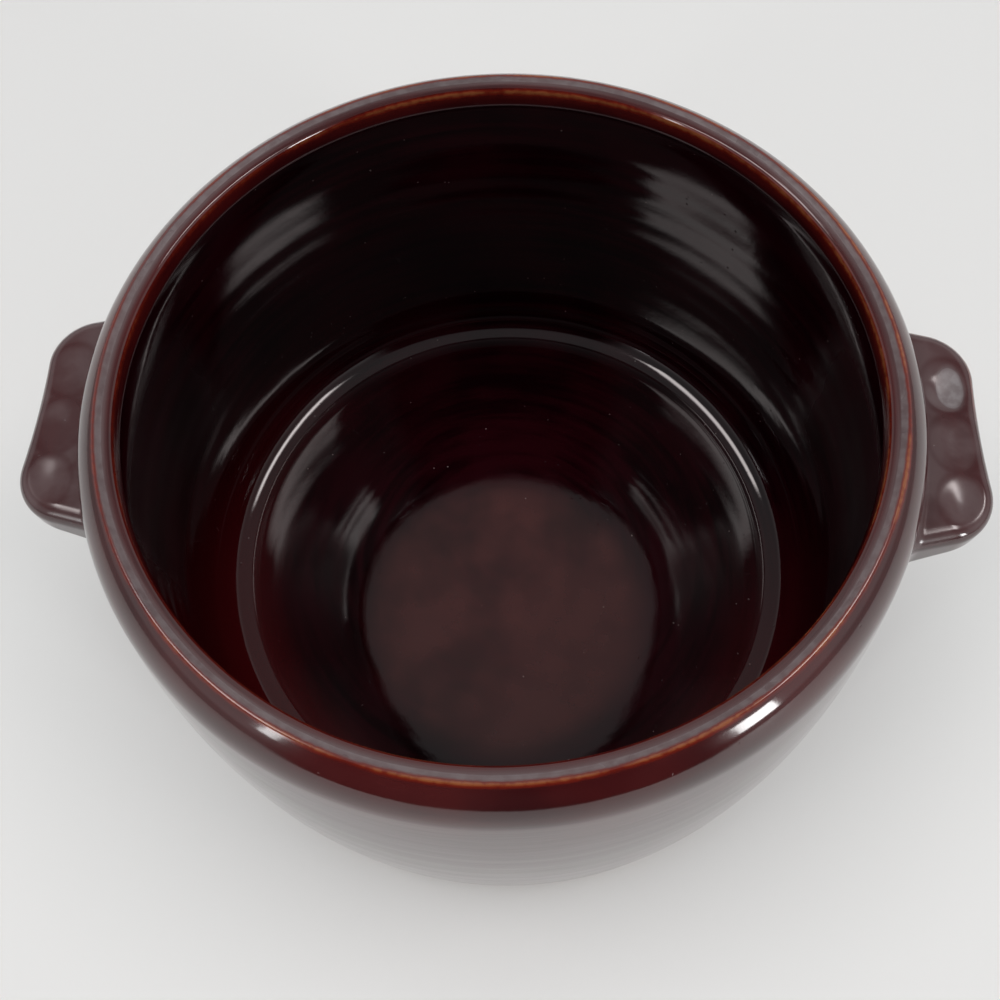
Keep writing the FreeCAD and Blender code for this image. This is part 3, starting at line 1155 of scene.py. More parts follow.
@dataclass(frozen=True)
class GlazeFinish:
    """Dark red-brown glaze: glossy, and broken to orange-brown where it runs thin.

    A pair or four of numbers is a range that a value is carried from, and to.
    """

    name: str = "dark_red_glaze"
    deep: Colour = (0.026, 0.0019, 0.0028)
    warm: Colour = (0.054, 0.0043, 0.0046)
    belly: Colour = (0.034, 0.0028, 0.0036)
    # painted shade: the room's glaze colour is made far darker than the outside, for the shade inside the pot
    room_shade: Colour = (0.0045, 0.0003, 0.0009)
    room_shade_warm: Colour = (0.0150, 0.0010, 0.0026)
    # painted light: a redder colour where light falls on the foot of the room's wall
    painted_heel_light: Colour = (0.052, 0.0024, 0.0036)
    # painted reflection: a lighter greyish patch on the floor's middle
    floor_middle_reflection: Colour = (0.052, 0.0115, 0.0105)
    # partly a dull film, partly painted reflection that makes up for the weaker gloss on lugs and rim
    film_and_sheen: Colour = (0.082, 0.046, 0.047)
    thin_red: Colour = (0.115, 0.010, 0.005)
    edge: Colour = (0.21, 0.062, 0.022)
    # painted sheen: a pale grey painted reflection where the glaze is hazy
    pale_painted_sheen: Colour = (0.19, 0.165, 0.168)
    speck: Colour = (0.17, 0.130, 0.125)
    # painted highlight: a thin pale line at the collar's foot
    collar_painted_highlight: Colour = (0.11, 0.075, 0.078)
    turn_scale: float = 1.6
    rise_scale: float = 420.0
    mottle: Pattern = Pattern(34.0, 4.0)
    streaks: Pattern = Pattern(1.0, 3.0)
    mottle_share: float = 0.55
    warm_from: Pair = (0.38, 0.62)
    # patchiness of the painted reflection on the floor's middle
    patchy_floor_reflection: Pattern = Pattern(55.0, 5.0, 0.30, 0.70, 0.35, 1.0)
    belly_from: Pair = (0.108, 0.090)
    film_and_sheen_gain: float = 2.0
    lug_clouds: Pattern = Pattern(75.0, 4.0)
    film_and_sheen_from: Four = (0.36, 0.64, 0.30, 1.0)
    # where and how grainy the pale painted sheen lies
    pale_painted_sheen_from: Pair = (0.55, 1.5)
    pale_painted_sheen_grain: Pattern = Pattern(480.0, 4.0, 0.35, 0.65, 0.55, 1.0)
    worn_patches: Pattern = Pattern(60.0, 3.0, 0.30, 0.62, 0.45, 1.0)
    worn_grain: Pattern = Pattern(700.0, 2.0, 0.35, 0.60, 0.7, 1.0)
    less_at_left: Four = (-0.085, -0.010, 0.55, 1.0)
    red_from: Pair = (0.02, 0.45)
    edge_from: Pair = (0.35, 0.85)
    speck_cells: float = 230.0
    speck_edge: Pair = (0.075, 0.035)
    speck_chance: Pattern = Pattern(90.0, 1.0, 0.50, 0.60, 0.0, 0.7)
    rough: Pattern = Pattern(60.0, 3.0, 0.3, 0.8, 0.049, 0.105)
    haze_rough: float = 0.22
    dull_rough: float = 0.28
    sheen: float = 0.5
    sheen_inside: float = 0.45
    dull_sheen: float = 0.35
    ior: float = 1.7
    relief: Relief = Relief()

    def material(self) -> bpy.types.Material:
        """The finish as a material.

        Returns:
            A material whose colour and bump follow the piece's own marks and
            places.
        """
        material, nodes = empty_material(self.name)
        inside, haze_and_sheen, dull = (nodes.mark(name) for name in ("inside", "haze_and_sheen", "dull"))
        turning = self.turning(nodes)
        streaks = self.streaks.plain(nodes, turning)
        share = nodes.math(
            "ADD", nodes.times(self.mottle.plain(nodes), self.mottle_share),
            nodes.times(streaks, 1 - self.mottle_share)
        )
        spread = nodes.ranged(share, *self.warm_from)
        # inside the room the colour is the painted shade of the room
        colour = nodes.mixed(inside, self.outside(nodes, spread, streaks), self.room_shade_colour(nodes, spread))
        colour = self.worn(nodes, colour)
        # painted highlight along the collar's foot
        colour = nodes.mixed(nodes.mark("collar_painted_highlight"), colour, self.collar_painted_highlight)
        speck = nodes.times(
            nodes.dots(self.speck_cells, self.speck_edge), self.speck_chance.ranged(nodes), inside
        )
        rough = self.rough.ranged(nodes)
        for mark, more in ((dull, self.dull_rough), (haze_and_sheen, self.haze_rough)):
            rough = nodes.math("ADD", rough, nodes.times(mark, more))
        sheen = nodes.times(
            nodes.ranged(inside, 0.0, 1.0, self.sheen, self.sheen_inside),
            nodes.ranged(dull, 0.0, 1.0, 1.0, self.dull_sheen)
        )
        shader = nodes.add("ShaderNodeBsdfPrincipled", IOR=self.ior)
        nodes.feed(shader.inputs["Base Color"], nodes.mixed(speck, colour, self.speck))
        nodes.feed(shader.inputs["Roughness"], rough)
        nodes.feed(shader.inputs["Specular IOR Level"], sheen)
        nodes.feed(shader.inputs["Normal"], self.relief.normal(nodes, turning))
        nodes.out(shader)
        material.diffuse_color = (*self.warm, 1.0)
        return material

    def turning(self, nodes: Nodes) -> Socket:
        """Places for streaks that follow the turning: slow round the pot, quick up and across.

        The direction from the axis is kept as a short vector, and the height
        and the radius stretch it, so there is no seam.

        Args:
            nodes: The material's nodes.

        Returns:
            The places as a vector.
        """
        x, y, z = nodes.split(nodes.places())
        radius = nodes.length(x, y)
        stretched = nodes.add("ShaderNodeCombineXYZ")
        for slot, value in enumerate((x, y)):
            round_ = nodes.times(nodes.math("DIVIDE", value, radius), self.turn_scale)
            nodes.feed(stretched.inputs[slot], round_)
        rise = nodes.math("ADD", *(nodes.times(value, self.rise_scale) for value in (z, radius)))
        nodes.feed(stretched.inputs[2], rise)
        return stretched.outputs[0]

    def room_shade_colour(self, nodes: Nodes, spread: Socket) -> Socket:
        """The colour of the room: painted shade darker than the outer glaze, with a painted reflection on the
        floor's middle and painted light at the heel.

        Args:
            nodes: The material's nodes.
            spread: Share of the warmer colour.

        Returns:
            The colour.
        """
        # painted shade of the room, mottled warmer and cooler
        room_shade_colour = nodes.mixed(spread, self.room_shade, self.room_shade_warm)
        # painted reflection on the floor's middle, made patchy
        patchy_floor_reflection = nodes.times(nodes.mark("middle"), self.patchy_floor_reflection.ranged(nodes))
        return nodes.mixed(nodes.mark("painted_heel_light"), nodes.mixed(patchy_floor_reflection, room_shade_colour, self.floor_middle_reflection), self.painted_heel_light)

    def outside(self, nodes: Nodes, spread: Socket, streaks: Socket) -> Socket:
        """The colour of the outer glaze under its dull film and painted reflection, and its pale painted
        sheen.

        Args:
            nodes: The material's nodes.
            spread: Share of the warmer colour.
            streaks: Streaks that follow the turning, which cloud the film and painted reflection off the
                lugs.

        Returns:
            The colour.
        """
        colour = nodes.mixed(spread, self.deep, self.warm)
        low = nodes.ranged(nodes.split(nodes.places())[2], *self.belly_from)
        colour = nodes.mixed(low, colour, self.belly)
        # the haze mark's colour: a dull film and painted reflection
        haze_and_sheen = nodes.mark("haze_and_sheen")
        film_and_sheen_share = nodes.math("MINIMUM", nodes.times(haze_and_sheen, self.film_and_sheen_gain), 1.0)
        cloudy = nodes.mixed(nodes.mark("pressed"), streaks, self.lug_clouds.plain(nodes))
        film_and_sheen_share = nodes.times(film_and_sheen_share, nodes.ranged(cloudy, *self.film_and_sheen_from))
        colour = nodes.mixed(film_and_sheen_share, colour, self.film_and_sheen)
        # pale painted sheen over the strongest haze
        pale_painted_sheen = nodes.times(nodes.ranged(haze_and_sheen, *self.pale_painted_sheen_from), self.pale_painted_sheen_grain.ranged(nodes))
        return nodes.mixed(pale_painted_sheen, colour, self.pale_painted_sheen)

    def worn(self, nodes: Nodes, body: Socket) -> Socket:
        """The colour with the edges where the glaze runs thin, first red and then orange-brown.

        Args:
            nodes: The material's nodes.
            body: The colour of the full glaze.

        Returns:
            The colour.
        """
        worn = nodes.times(
            nodes.mark("thin"), self.worn_patches.ranged(nodes), self.worn_grain.ranged(nodes),
            nodes.ranged(nodes.split(nodes.places())[0], *self.less_at_left)
        )
        colour = nodes.mixed(nodes.ranged(worn, *self.red_from), body, self.thin_red)
        return nodes.mixed(nodes.ranged(worn, *self.edge_from), colour, self.edge)


@dataclass(frozen=True)
class ClayFinish:
    """Bare fired stoneware: matt buff clay with fine grain, specks and turning marks."""

    name: str = "bare_stoneware"
    light: Colour = (0.48, 0.36, 0.25)
    dark: Colour = (0.34, 0.23, 0.15)
    speck: Colour = (0.09, 0.055, 0.035)
    toasted: Colour = (0.27, 0.13, 0.065)
    clouds: Pattern = Pattern(45.0, 5.0, 0.3, 0.7)
    specks: Pattern = Pattern(900.0, 2.0, 0.66, 0.72, 0.0, 0.8)
    toasted_up: Four = (0.0014, 0.0036, 0.0, 0.9)
    toasted_out: Pair = (0.088, 0.090)
    ring_pitch: float = 0.0024
    ring_strength: Pattern = Pattern(30.0, 2.0)
    ring_depth: float = 0.00009
    grain: Pattern = Pattern(1400.0, 3.0)
    grain_depth: float = 0.00012
    grain_strength: float = 0.9
    roughness: float = 0.88

    def material(self) -> bpy.types.Material:
        """The finish as a material.

        Returns:
            A material on the piece's own places, darker near the glaze line.
        """
        material, nodes = empty_material(self.name)
        x, y, z = nodes.split(nodes.places())
        radius = nodes.length(x, y)
        body = nodes.mixed(self.clouds.ranged(nodes), self.light, self.dark)
        body = nodes.mixed(self.specks.ranged(nodes), body, self.speck)
        glow = nodes.times(
            nodes.ranged(z, *self.toasted_up), nodes.ranged(radius, *self.toasted_out)
        )
        rings = nodes.math("SINE", nodes.times(radius, 2 * math.pi / self.ring_pitch))
        rings = nodes.bump(nodes.times(rings, self.ring_strength.plain(nodes)), self.ring_depth)
        normal = nodes.bump(self.grain.plain(nodes), self.grain_depth, rings, self.grain_strength)

        shader = nodes.add("ShaderNodeBsdfPrincipled", Roughness=self.roughness)
        nodes.feed(shader.inputs["Base Color"], nodes.mixed(glow, body, self.toasted))
        nodes.feed(shader.inputs["Normal"], normal)
        nodes.out(shader)
        material.diffuse_color = (*self.light, 1.0)
        return material


@dataclass(frozen=True)
class TableFinish:
    """Plain pale table top with a soft sheen."""

    name: str = "pale_table"
    colour: Colour = (0.72, 0.72, 0.71)
    roughness: float = 0.6

    def material(self) -> bpy.types.Material:
        """The finish as a material.

        Returns:
            A material of one colour.
        """
        material, nodes = empty_material(self.name)
        colour = (*self.colour, 1.0)
        nodes.out(nodes.add("ShaderNodeBsdfPrincipled", Base_Color=colour, Roughness=self.roughness))
        return material


# ---------------------------------------------------------------- pieces
class Side(Enum):
    """The side of the pot that a lug is on, as the sign of its X."""

    RIGHT = 1
    LEFT = -1


# The depths, the slants and the shares of film and painted highlight of a lug's three finger
# dimples, in millimetres and shares, and how far they all lie towards the eye.
PRESSED = {
    # the right lug's far dimple carries a strong film share, a painted highlight of a window
    Side.RIGHT: ((0.85, 0.40, 0.95), (0.04, 0.0, 0.20), (0.35, 0.35, 1.3)),
    Side.LEFT: ((0.35, 0.35, 0.50), (0.0, 0.0, 0.0), (0.15, 0.20, 0.30)),
}
DIMPLE_SHIFT = -3.5


@dataclass
class TurnedBody:
    """The clay body and the glaze coat over it.

    Lengths are in millimetres, and a pair is where a soft step starts and ends.
    """

    sizes: TurnedSizes
    hand: PottersHand
    columns: int = 296
    coarse: float = 0.5
    bead: float = 0.45
    ridge_out: float = 0.35
    ridge_thin: float = 0.62
    below_lip: float = 0.5
    lip_thin: float = 0.80
    collar_thin: float = 2.6
    collar_share: float = 0.26
    collar_width: float = 3.0
    # place and width of the painted highlight line at the collar's foot
    collar_highlight_out: float = 0.1
    collar_highlight_width: float = 0.28
    inside_from: float = 2.0
    inside_run: float = 3.0
    # where the rim's haze and painted reflection lie
    haze_and_sheen_from_lip: Pair = (0.7, 1.3)
    haze_and_sheen_to_ridge: Pair = (-0.3, 0.5)
    haze_and_sheen_outside: float = 0.08
    haze_and_sheen_up: Pair = (96.0, 112.0)
    # where the painted light at the heel lies, and towards which side it is lit
    heel_out: Pair = (66.0, 80.0)
    heel_up: Pair = (12.0, 44.0)
    heel_light: tuple[float, float, float] = (0.40, -0.65, -0.25)
    dull_low: Pair = (36.0, 46.0)
    dull_high: Pair = (86.0, 95.0)
    dull_sides: Pair = (0.90, 0.975)
    # the off-axis circle that holds the floor's painted reflection
    spot_y: float = -20.0
    spot_edge: Pair = (-46.0, -36.0)

    def clay(self, finish: bpy.types.Material) -> bpy.types.Object:
        """The clay body, closed from the room over the rim to the foot and its hollow.

        Args:
            finish: Material of the bare clay.

        Returns:
            The piece, which stands for the CAD's pot_body.
        """
        outline = Outline(self.sizes, 0.0, self.coarse)
        loop = joined([outline.room(), outline.outside(0.0), Outline(self.sizes, 0.0).foot()])
        grid = self.hand.shaped(turned_grid(loop, self.columns))
        piece = mesh_piece("clay_body", grid.reshape(-1, 3), grid_faces(len(loop), self.columns), {})
        piece.data.materials.append(finish)
        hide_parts("pot_body")
        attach(piece, "root")
        return piece

    def thinness(self, face: np.ndarray) -> np.ndarray:
        """How thin the glaze runs at each point of the outline, from 0 to 1.

        It falls as a bell with the distance from the ridge of the rim, and
        with the distance from a place just under the lip.

        Args:
            face: Points of the glazed outline.

        Returns:
            One value for each point.
        """
        size = self.sizes
        ridge = point(size.rim_radius + self.ridge_out, size.height + size.glaze)
        lip = point(size.mouth_radius - size.glaze, size.height - size.lip_drop - self.below_lip)
        below = (face[:, 0] < size.mouth_radius + self.collar_width) & (face[:, 1] < lip[1])
        on_collar = np.where(below, np.exp(-((lip[1] - face[:, 1]) / self.collar_thin) ** 2), 0)
        on_edge = np.maximum(bell(face, ridge, self.ridge_thin), bell(face, lip, self.lip_thin))
        return np.maximum(on_edge, self.collar_share * on_collar)

    def rim_haze_and_sheen(self, face: np.ndarray) -> np.ndarray:
        """How dull the glaze is on top of the rim, where it also carries a painted reflection: a soft step at
        the lip and one at the ridge.

        Args:
            face: Points of the glazed outline.

        Returns:
            One value for each point.
        """
        size = self.sizes
        past_lip = smooth_step(face[:, 0] - size.mouth_radius, *self.haze_and_sheen_from_lip)
        in_ridge = 1 - smooth_step(face[:, 0] - size.rim_radius, *self.haze_and_sheen_to_ridge)
        level = self.haze_and_sheen_outside + (1 - self.haze_and_sheen_outside) * in_ridge
        return past_lip * level * smooth_step(face[:, 1], *self.haze_and_sheen_up)

    def marks(self, face: np.ndarray, room: int) -> dict[str, np.ndarray]:
        """The marks of the glazed face.

        Most are alike all round. The painted light at the heel, the foot of the
        room's wall, grows with the sine and cosine of the angle towards its lit
        side, the dull patches of the wall lie beside the lugs, and the floor's
        middle, a painted reflection, is a circle off the axis.

        Args:
            face: Points of the glazed outline.
            room: How many of them lie in the room.

        Returns:
            Each mark by its name, as an array of points by columns.
        """
        size = self.sizes
        radius, height = face.T
        angle = np.arange(self.columns) * 2 * math.pi / self.columns
        all_round = np.ones(self.columns)
        in_room = np.arange(len(face)) < room
        below = np.clip((size.collar_foot + self.inside_from - height) / self.inside_run, 0, 1)
        inside = np.where(in_room, below, 0)
        # painted light at the foot of the room's wall, stronger on its lit side
        painted_heel_light = smooth_step(radius, *self.heel_out) * (1 - smooth_step(height, *self.heel_up)) * in_room
        level, by_sine, by_cosine = self.heel_light
        lit = np.clip(level + by_sine * np.sin(angle) + by_cosine * np.cos(angle), 0, 1)
        dull = smooth_step(height, *self.dull_low) * (1 - smooth_step(height, *self.dull_high)) * inside
        sides = smooth_step(abs(np.cos(angle)), *self.dull_sides)
        x, y = np.outer(radius, np.cos(angle)), np.outer(radius, np.sin(angle))
        # the circle of the floor's painted reflection
        spot = smooth_step(-np.hypot(x, y - self.spot_y), *self.spot_edge)
        # middle of the painted highlight line at the collar's foot
        collar = point(size.mouth_radius - size.glaze + self.collar_highlight_out, size.collar_foot + self.collar_highlight_out)
        return {
            "thin": np.outer(self.thinness(face), all_round),
            "inside": np.outer(inside, all_round),
            "haze_and_sheen": np.outer(self.rim_haze_and_sheen(face), all_round),
            "collar_painted_highlight": np.outer(bell(face, collar, self.collar_highlight_width), all_round),
            "painted_heel_light": np.outer(painted_heel_light, lit),
            "dull": np.outer(dull, sides),
            "middle": inside[:, None] * spot,
        }

    def glaze(self, finish: bpy.types.Material) -> bpy.types.Object:
        """The glaze coat: the glazed surface, a rounded lower edge and the side on the clay.

        Args:
            finish: Material of the glaze.

        Returns:
            The piece, which stands for the CAD's glaze_coat.
        """
        size = self.sizes
        skin = Outline(size, size.glaze)
        room, outside = skin.room(), skin.outside(size.glaze_line)
        face = joined([room, outside])
        under = Outline(size, 0.0, self.coarse)
        back = joined([under.room(), under.outside(size.glaze_line)])[::-1]
        bead = (face[-1] + back[0]) / 2 + unit(face[-1] - outside[-2]) * size.glaze * self.bead
        loop = np.concatenate([face, bead[None], back])
        rest = np.zeros((1 + len(back), self.columns))
        marks = {
            name: np.concatenate([values, rest]) for name, values in self.marks(face, len(room)).items()
        }
        grid = self.hand.shaped(turned_grid(loop, self.columns))
        piece = mesh_piece("glaze_coat_skin", grid.reshape(-1, 3), grid_faces(len(loop), self.columns), marks)
        piece.data.materials.append(finish)
        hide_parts("glaze_coat")
        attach(piece, "root")
        return piece


@dataclass
class Lug:
    """One glazed lug handle with its finger dimples, run out onto the wall."""

    form: LugForm
    hand: PottersHand
    side: Side
    core_inset: float = 6.0
    core_half: float = 19.0
    long_steps: int = 110
    end_steps: int = 96
    tip_rows: int = 26
    flat_rows: int = 34
    root_rows: int = 18
    wall_rows: int = 5
    back_rows: int = 4
    wall_run: float = 2.5
    back_depth: float = 0.6
    root_ray: float = 30.0
    tip_ray: float = 40.0
    end_reach: float = 9.0
    widest: float = 33.0
    sunk: float = 0.02
    merge: float = 2e-6
    bend_step: float = 0.35
    thin_from: float = 0.45
    thin_to: float = 0.90
    thin_most: float = 0.40
    worn_most: float = 0.62

    @property
    def core_height(self) -> float:
        """Height of the core line, in the middle of the lug's tip."""
        return self.form.top - self.form.sizes.tip / 2 - self.form.turned.glaze

    def perimeter(self) -> tuple[np.ndarray, np.ndarray]:
        """The places on the core line and the directions that lead away from it, once round.

        Returns:
            The Y of each place, and directions of Y and Z by 2. They run along
            the top, round one end, back along the underside and round the
            other end.
        """
        run = np.linspace(-1, 1, self.long_steps, endpoint=False) * self.core_half
        turn = np.linspace(0, math.pi, self.end_steps, endpoint=False)
        end = np.full(len(turn), self.core_half)
        along = np.concatenate([run, end, -run, -end])
        straight_up = np.tile([0.0, 1.0], (len(run), 1))
        round_far = np.stack([np.sin(turn), np.cos(turn)], -1)
        return along, np.concatenate([straight_up, round_far, -straight_up, -round_far])

    def outer_rows(self) -> np.ndarray:
        """The glazed surface as rows of places, from the tip's middle line to the wall.

        Rays leave the core line and swing from straight out to straight up,
        then slide back along the lug, then swing about the middle of the
        hollow round at its root, and last slide outwards over the wall.

        Returns:
            Array of rows by places by 3.
        """
        form, size = self.form, self.form.sizes
        along, away = self.perimeter()
        count = len(along)
        core_x = form.reach - self.core_inset
        core_z = self.core_height
        away3 = np.concatenate([np.zeros((count, 1)), away], axis=1)
        out = np.array([1.0, 0.0, 0.0])

        swing = np.linspace(0, math.pi / 2, self.tip_rows)[:, None, None]
        headings = np.cos(swing) * out + np.sin(swing) * away3
        starts = np.broadcast_to(
            np.stack([np.full(count, core_x), along, np.full(count, core_z)], -1), headings.shape
        )
        tip = surface_along(form.field, starts, headings, self.tip_ray)

        round_ = size.root_round + form.turned.glaze
        edge = np.minimum(np.abs(along) + np.abs(away[:, 0]) * self.end_reach, self.widest)
        root_x = np.sqrt(form.wall_radius(core_z) ** 2 - edge**2) + round_
        share = np.linspace(0, 1, self.flat_rows + 1)[1:, None]
        flat_x = core_x + (root_x - core_x) * share
        starts = np.stack([
            flat_x, np.broadcast_to(along, flat_x.shape), np.full(flat_x.shape, core_z)
        ], -1)
        headings = np.broadcast_to(away3, starts.shape)
        flat = surface_along(form.field, starts, headings, self.tip_ray)

        middle = flat[-1] + away3 * round_
        swing = np.linspace(0, math.pi / 2, self.root_rows + 1)[1:, None, None]
        headings = -(np.cos(swing) * away3 + np.sin(swing) * out)
        starts = np.broadcast_to(middle, headings.shape)
        root = surface_along(form.field, starts, headings, self.root_ray)

        slide = np.linspace(0, self.wall_run, self.wall_rows + 1)[1:, None, None]
        starts = middle + away3 * slide
        wall = surface_along(form.field, starts, np.broadcast_to(-out, starts.shape), self.root_ray)
        return np.concatenate([tip, flat, root, wall])

    def back_rows_under(self, border: np.ndarray) -> np.ndarray:
        """Rows that close the lug a little under the glazed wall, from its border inwards.

        Args:
            border: The outermost row on the wall.

        Returns:
            Array of rows by places by 3, the last one on the core line.
        """
        form = self.form
        along, _ = self.perimeter()
        share = np.linspace(0, 1, self.back_rows + 1)[:, None]
        across = border[:, 1] * (1 - share) + along * share
        height = border[:, 2] * (1 - share) + self.core_height * share
        centre = form.turned.barrel_centre
        reach = form.turned.barrel_radius + form.turned.glaze - self.back_depth
        radius = centre[0] + np.sqrt(reach**2 - (height - centre[1]) ** 2)
        return np.stack([np.sqrt(radius**2 - across**2), across, height], -1)

    def build(self, finish: bpy.types.Material) -> bpy.types.Object:
        """The lug as a closed piece.

        Args:
            finish: Material of the glaze.

        Returns:
            The piece, which stands for the CAD's handle on its side.
        """
        outer = self.outer_rows()
        sunk = outer[-1] - np.array([self.sunk, 0, 0])
        rows = np.concatenate([outer[:-1], sunk[None], self.back_rows_under(outer[-1])])
        bend = mean_bend(self.form.field, rows, self.bend_step)
        thin = np.clip((bend - self.thin_from) / (self.thin_to - self.thin_from), 0, 1) * self.thin_most
        thin = np.maximum(thin, self.form.worn_edge(rows, self.side.value) * self.worn_most)
        places = self.hand.shaped(rows * np.array([self.side.value, self.side.value, 1]))
        name = f"{self.side.name.lower()}_lug"
        # the lug's dull film with painted reflection and painted highlight in its dimples
        marks = {"thin": thin, "haze_and_sheen": self.form.film_and_sheen_on(rows), "pressed": np.ones(thin.shape)}
        faces = grid_faces(*rows.shape[:2])
        piece = mesh_piece(name, places.reshape(-1, 3), faces, marks, self.merge)
        piece.data.materials.append(finish)
        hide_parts(f"{self.side.name.lower()}_handle")
        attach(piece, "root")
        return piece


# ---------------------------------------------------------------- stage, light and camera
@dataclass
class Softbox:
    """A rectangular area light that looks at the pot, its level given as the brightness of its face."""

    name: str
    place: tuple[float, float, float]
    size: Pair
    brightness: float
    soft: Pair = (0.1, 0.1)
    in_gloss: bool = True
    colour: Colour = (1.0, 1.0, 1.0)
    aim: tuple[float, float, float] = (0.0, 0.0, 0.10)

    def fade(self, data: bpy.types.Light) -> None:
        """Lets the light's face fade towards its edges, over a share of its width and height.

        Args:
            data: The light.
        """
        data.use_nodes = True
        nodes = Nodes(data.node_tree)
        level = 1.0
        face = nodes.split(nodes.add("ShaderNodeNewGeometry").outputs["Parametric"])
        for place, soft in zip(face[:2], self.soft):
            edge = nodes.math("SUBTRACT", 0.5, nodes.math("ABSOLUTE", nodes.math("SUBTRACT", place, 0.5)))
            level = nodes.times(nodes.ranged(edge, 0.0, soft), level)
        emission = nodes.add("ShaderNodeEmission")
        nodes.feed(emission.inputs["Strength"], level)
        nodes.out(emission, "Light")

    def build(self) -> bpy.types.Object:
        """The light as an object.

        Its power is its brightness times its area times pi.

        Returns:
            The light object.
        """
        data = bpy.data.lights.new(self.name, "AREA")
        data.shape = "RECTANGLE"
        data.size, data.size_y = self.size
        data.energy = self.brightness * self.size[0] * self.size[1] * math.pi
        data.color = self.colour
        self.fade(data)
        light = bpy.data.objects.new(self.name, data)
        light.location = self.place
        light.visible_glossy = self.in_gloss
        heading = Vector(self.aim) - Vector(self.place)
        light.rotation_euler = heading.to_track_quat("-Z", "Y").to_euler()
        bpy.context.scene.collection.objects.link(light)
        return light


def sheet(name: str, places: np.ndarray, material: bpy.types.Material) -> bpy.types.Object:
    """A staged sheet, whose faces join neighbours of a grid of places.

    Args:
        name: Name of the sheet.
        places: Array of rows by columns by 3, in metres.
        material: Its material.

    Returns:
        The object.
    """
    number = np.arange(places.shape[0] * places.shape[1]).reshape(places.shape[:2])
    faces = np.stack([number[:-1, :-1], number[:-1, 1:], number[1:, 1:], number[1:, :-1]], -1)
    mesh = bpy.data.meshes.new(name)
    mesh.from_pydata(places.reshape(-1, 3).tolist(), [], faces.reshape(-1, 4).tolist())
    mesh.materials.append(material)
    made = bpy.data.objects.new(name, mesh)
    bpy.context.scene.collection.objects.link(made)
    return made


@dataclass
class Flag:
    """An upright dark card that only reflections see, as a studio sets behind the camera."""

    name: str
    across: Pair
    along: float
    up: Pair
    soft: float = 0.22
    steps: int = 25
    colour: Colour = (0.004, 0.003, 0.003)

    def cloth(self) -> bpy.types.Material:
        """The card's dark cloth, clear where its mark is 0.

        Returns:
            The material.
        """
        material, nodes = empty_material(f"{self.name}_cloth")
        shader = nodes.add("ShaderNodeMixShader")
        nodes.feed(shader.inputs[0], nodes.mark("solid"))
        nodes.feed(shader.inputs[1], nodes.add("ShaderNodeBsdfTransparent").outputs[0])
        cloth = nodes.add("ShaderNodeBsdfDiffuse", Color=(*self.colour, 1.0))
        nodes.feed(shader.inputs[2], cloth.outputs[0])
        nodes.out(shader)
        return material

    def build(self) -> bpy.types.Object:
        """The card as a grid that grows clear towards its sides and its top.

        Its mark is a soft step of the distance from the nearest of those edges.

        Returns:
            The staged object.
        """
        x, z = np.meshgrid(*(np.linspace(*ends, self.steps) for ends in (self.across, self.up)))
        card = sheet(self.name, np.stack([x, np.full_like(x, self.along), z], -1), self.cloth())
        beside = np.minimum(x - self.across[0], self.across[1] - x)
        above = np.minimum(z - self.up[0] + self.soft, self.up[1] - z)
        solid = smooth_step(np.minimum(beside, above), 0, self.soft)
        card.data.attributes.new("solid", "FLOAT", "POINT").data.foreach_set("value", solid.ravel())
        card.visible_camera = False
        card.visible_diffuse = False
        card.visible_shadow = False
        return card


@dataclass
class Studio:
    """The table, the room's light, the dark card and the softboxes."""

    card: Flag
    boxes: Sequence[Softbox]
    table_half: float = 1.6
    table_steps: int = 9
    table_gap: float = 0.0001
    skirting: Colour = (0.30, 0.295, 0.295)
    walls: Colour = (0.56, 0.55, 0.555)
    upper_walls: Colour = (0.22, 0.215, 0.22)
    ceiling: Colour = (0.235, 0.225, 0.23)
    backdrop: Colour = (0.72, 0.72, 0.715)
    walls_from: Pair = (0.06, 0.16)
    walls_to: Pair = (0.50, 0.70)
    ceiling_from: Pair = (0.86, 0.94)

    def table(self) -> bpy.types.Object:
        """The pale table top that the pot stands on, a flat grid just under the foot.

        Returns:
            The staged object.
        """
        across = np.linspace(-self.table_half, self.table_half, self.table_steps)
        x, y = np.meshgrid(across, across)
        places = np.stack([x, y, np.full_like(x, -self.table_gap)], -1)
        return sheet("table_top", places, TableFinish().material())

    def room(self) -> None:
        """The room round the table: pale walls under a darker ceiling, and a pale backdrop.

        The light's level follows the height of its direction, and what the
        camera itself sees behind the table is the plain backdrop.
        """
        world = bpy.data.worlds.new("room")
        world.use_nodes = True
        nodes = Nodes(world.node_tree)
        up = nodes.split(nodes.add("ShaderNodeTexCoord").outputs["Generated"])[2]
        colour = self.skirting
        for band, following in (
            (self.walls_from, self.walls), (self.walls_to, self.upper_walls),
            (self.ceiling_from, self.ceiling)
        ):
            colour = nodes.mixed(nodes.ranged(up, *band), colour, following)
        seen = nodes.add("ShaderNodeLightPath").outputs["Is Camera Ray"]
        background = nodes.add("ShaderNodeBackground")
        nodes.feed(background.inputs["Color"], nodes.mixed(seen, colour, self.backdrop))
        nodes.out(background, "World")
        bpy.context.scene.world = world

    def build(self) -> None:
        """Sets up the whole studio."""
        self.table()
        self.room()
        for made in (self.card, *self.boxes):
            made.build()


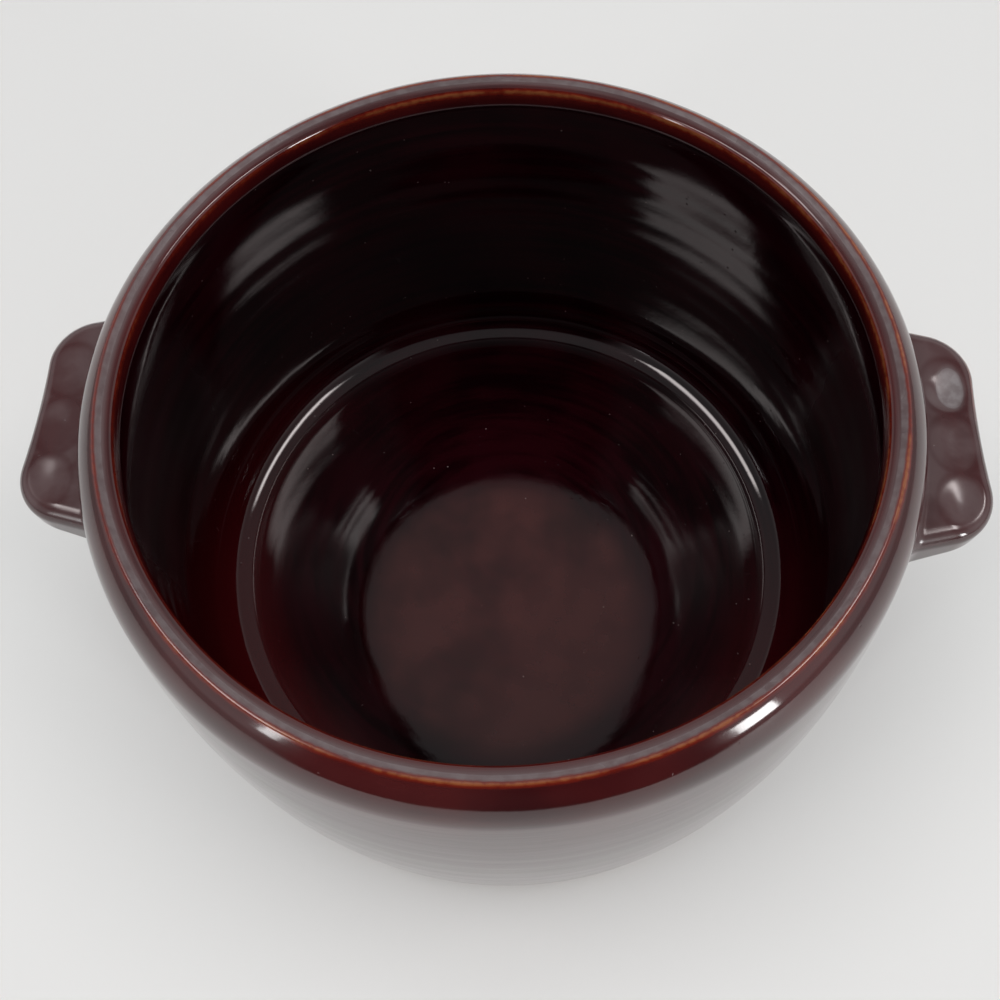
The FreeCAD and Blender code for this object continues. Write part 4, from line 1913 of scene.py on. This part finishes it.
@dataclass
class Eye:
    """The camera over the near edge of the pot, with its pitch, yaw and roll in degrees."""

    out: float = 0.1130
    height: float = 0.3015
    turn: float = 4.66
    pitch: float = 65.7
    yaw: float = -0.60
    roll: float = -3.46
    lens: float = 36.0
    sensor: float = 36.0

    def build(self) -> bpy.types.Object:
        """The camera, set as the scene's own.

        Its view runs down by the pitch and to the right by the yaw, its frame
        is turned by the roll, and all of it is turned about the pot's axis.

        Returns:
            The camera object.
        """
        pitch, yaw = math.radians(self.pitch), math.radians(self.yaw)
        roll, turn = math.radians(self.roll), math.radians(self.turn)
        ahead = np.array([
            math.sin(yaw) * math.cos(pitch), math.cos(yaw) * math.cos(pitch), -math.sin(pitch)
        ])
        right = np.array([math.cos(yaw), -math.sin(yaw), 0.0])
        up = np.cross(right, ahead)
        rolled = math.cos(roll) * right + math.sin(roll) * up
        up = -math.sin(roll) * right + math.cos(roll) * up
        spin = np.array([
            [math.cos(turn), -math.sin(turn), 0], [math.sin(turn), math.cos(turn), 0], [0, 0, 1]
        ])
        axes = spin @ np.stack([rolled, up, -ahead], axis=1)
        data = bpy.data.cameras.new("eye")
        data.lens, data.sensor_width = self.lens, self.sensor
        data.clip_start = 0.01
        eye = bpy.data.objects.new("eye", data)
        matrix = np.eye(4)
        matrix[:3, :3] = axes
        matrix[:3, 3] = spin @ np.array([0.0, -self.out, self.height])
        eye.matrix_world = Matrix(matrix.tolist())
        bpy.context.scene.collection.objects.link(eye)
        bpy.context.scene.camera = eye
        return eye


def report(piece: bpy.types.Object) -> None:
    """Logs a piece with its size and its number of faces."""
    size = ", ".join(f"{side / MM:.1f}" for side in piece.dimensions)
    log.info("%s: %s mm, %d faces", piece.name, size, len(piece.data.polygons))


def main() -> None:
    """Builds the camera, the pot and the studio, and reports each piece."""
    logging.basicConfig(level=logging.INFO, format="%(message)s")
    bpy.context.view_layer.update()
    scene = bpy.context.scene
    scene.view_settings.view_transform = "Standard"
    Eye().build()

    turned = TurnedSizes()
    hand = PottersHand(turned.height)
    glaze = GlazeFinish().material()
    clay = ClayFinish().material()
    body = TurnedBody(turned, hand)
    report(body.clay(clay))
    report(body.glaze(glaze))
    for side in PRESSED:
        form = LugForm(turned, LugSizes(), *PRESSED[side], DIMPLE_SHIFT * side.value)
        report(Lug(form, hand, side).build(glaze))

    warm = (1.0, 0.92, 0.91)
    Studio(Flag("dark_card", (-0.66, 0.78), -0.66, (0.02, 1.45)), [
        Softbox("overhead", (0.0, 0.0, 2.0), (2.6, 2.6), 2.4, (0.3, 0.3), False, (0.95, 0.995, 1.0)),
        Softbox("right_skylight", (1.212, 0.015, 1.87), (1.14, 0.45), 10.0, (0.12, 0.5), True, warm),
        Softbox("left_skylight", (-1.072, -0.113, 1.96), (1.27, 0.52), 7.4, (0.12, 0.4), True, warm),
        Softbox("right_window", (1.166, -0.944, 0.42), (0.26, 0.42), 15.0),
        Softbox("left_window", (-1.042, -1.079, 0.75), (0.13, 0.55), 9.0),
    ]).build()
    bpy.context.view_layer.update()


if __name__ == "__main__":
    main()
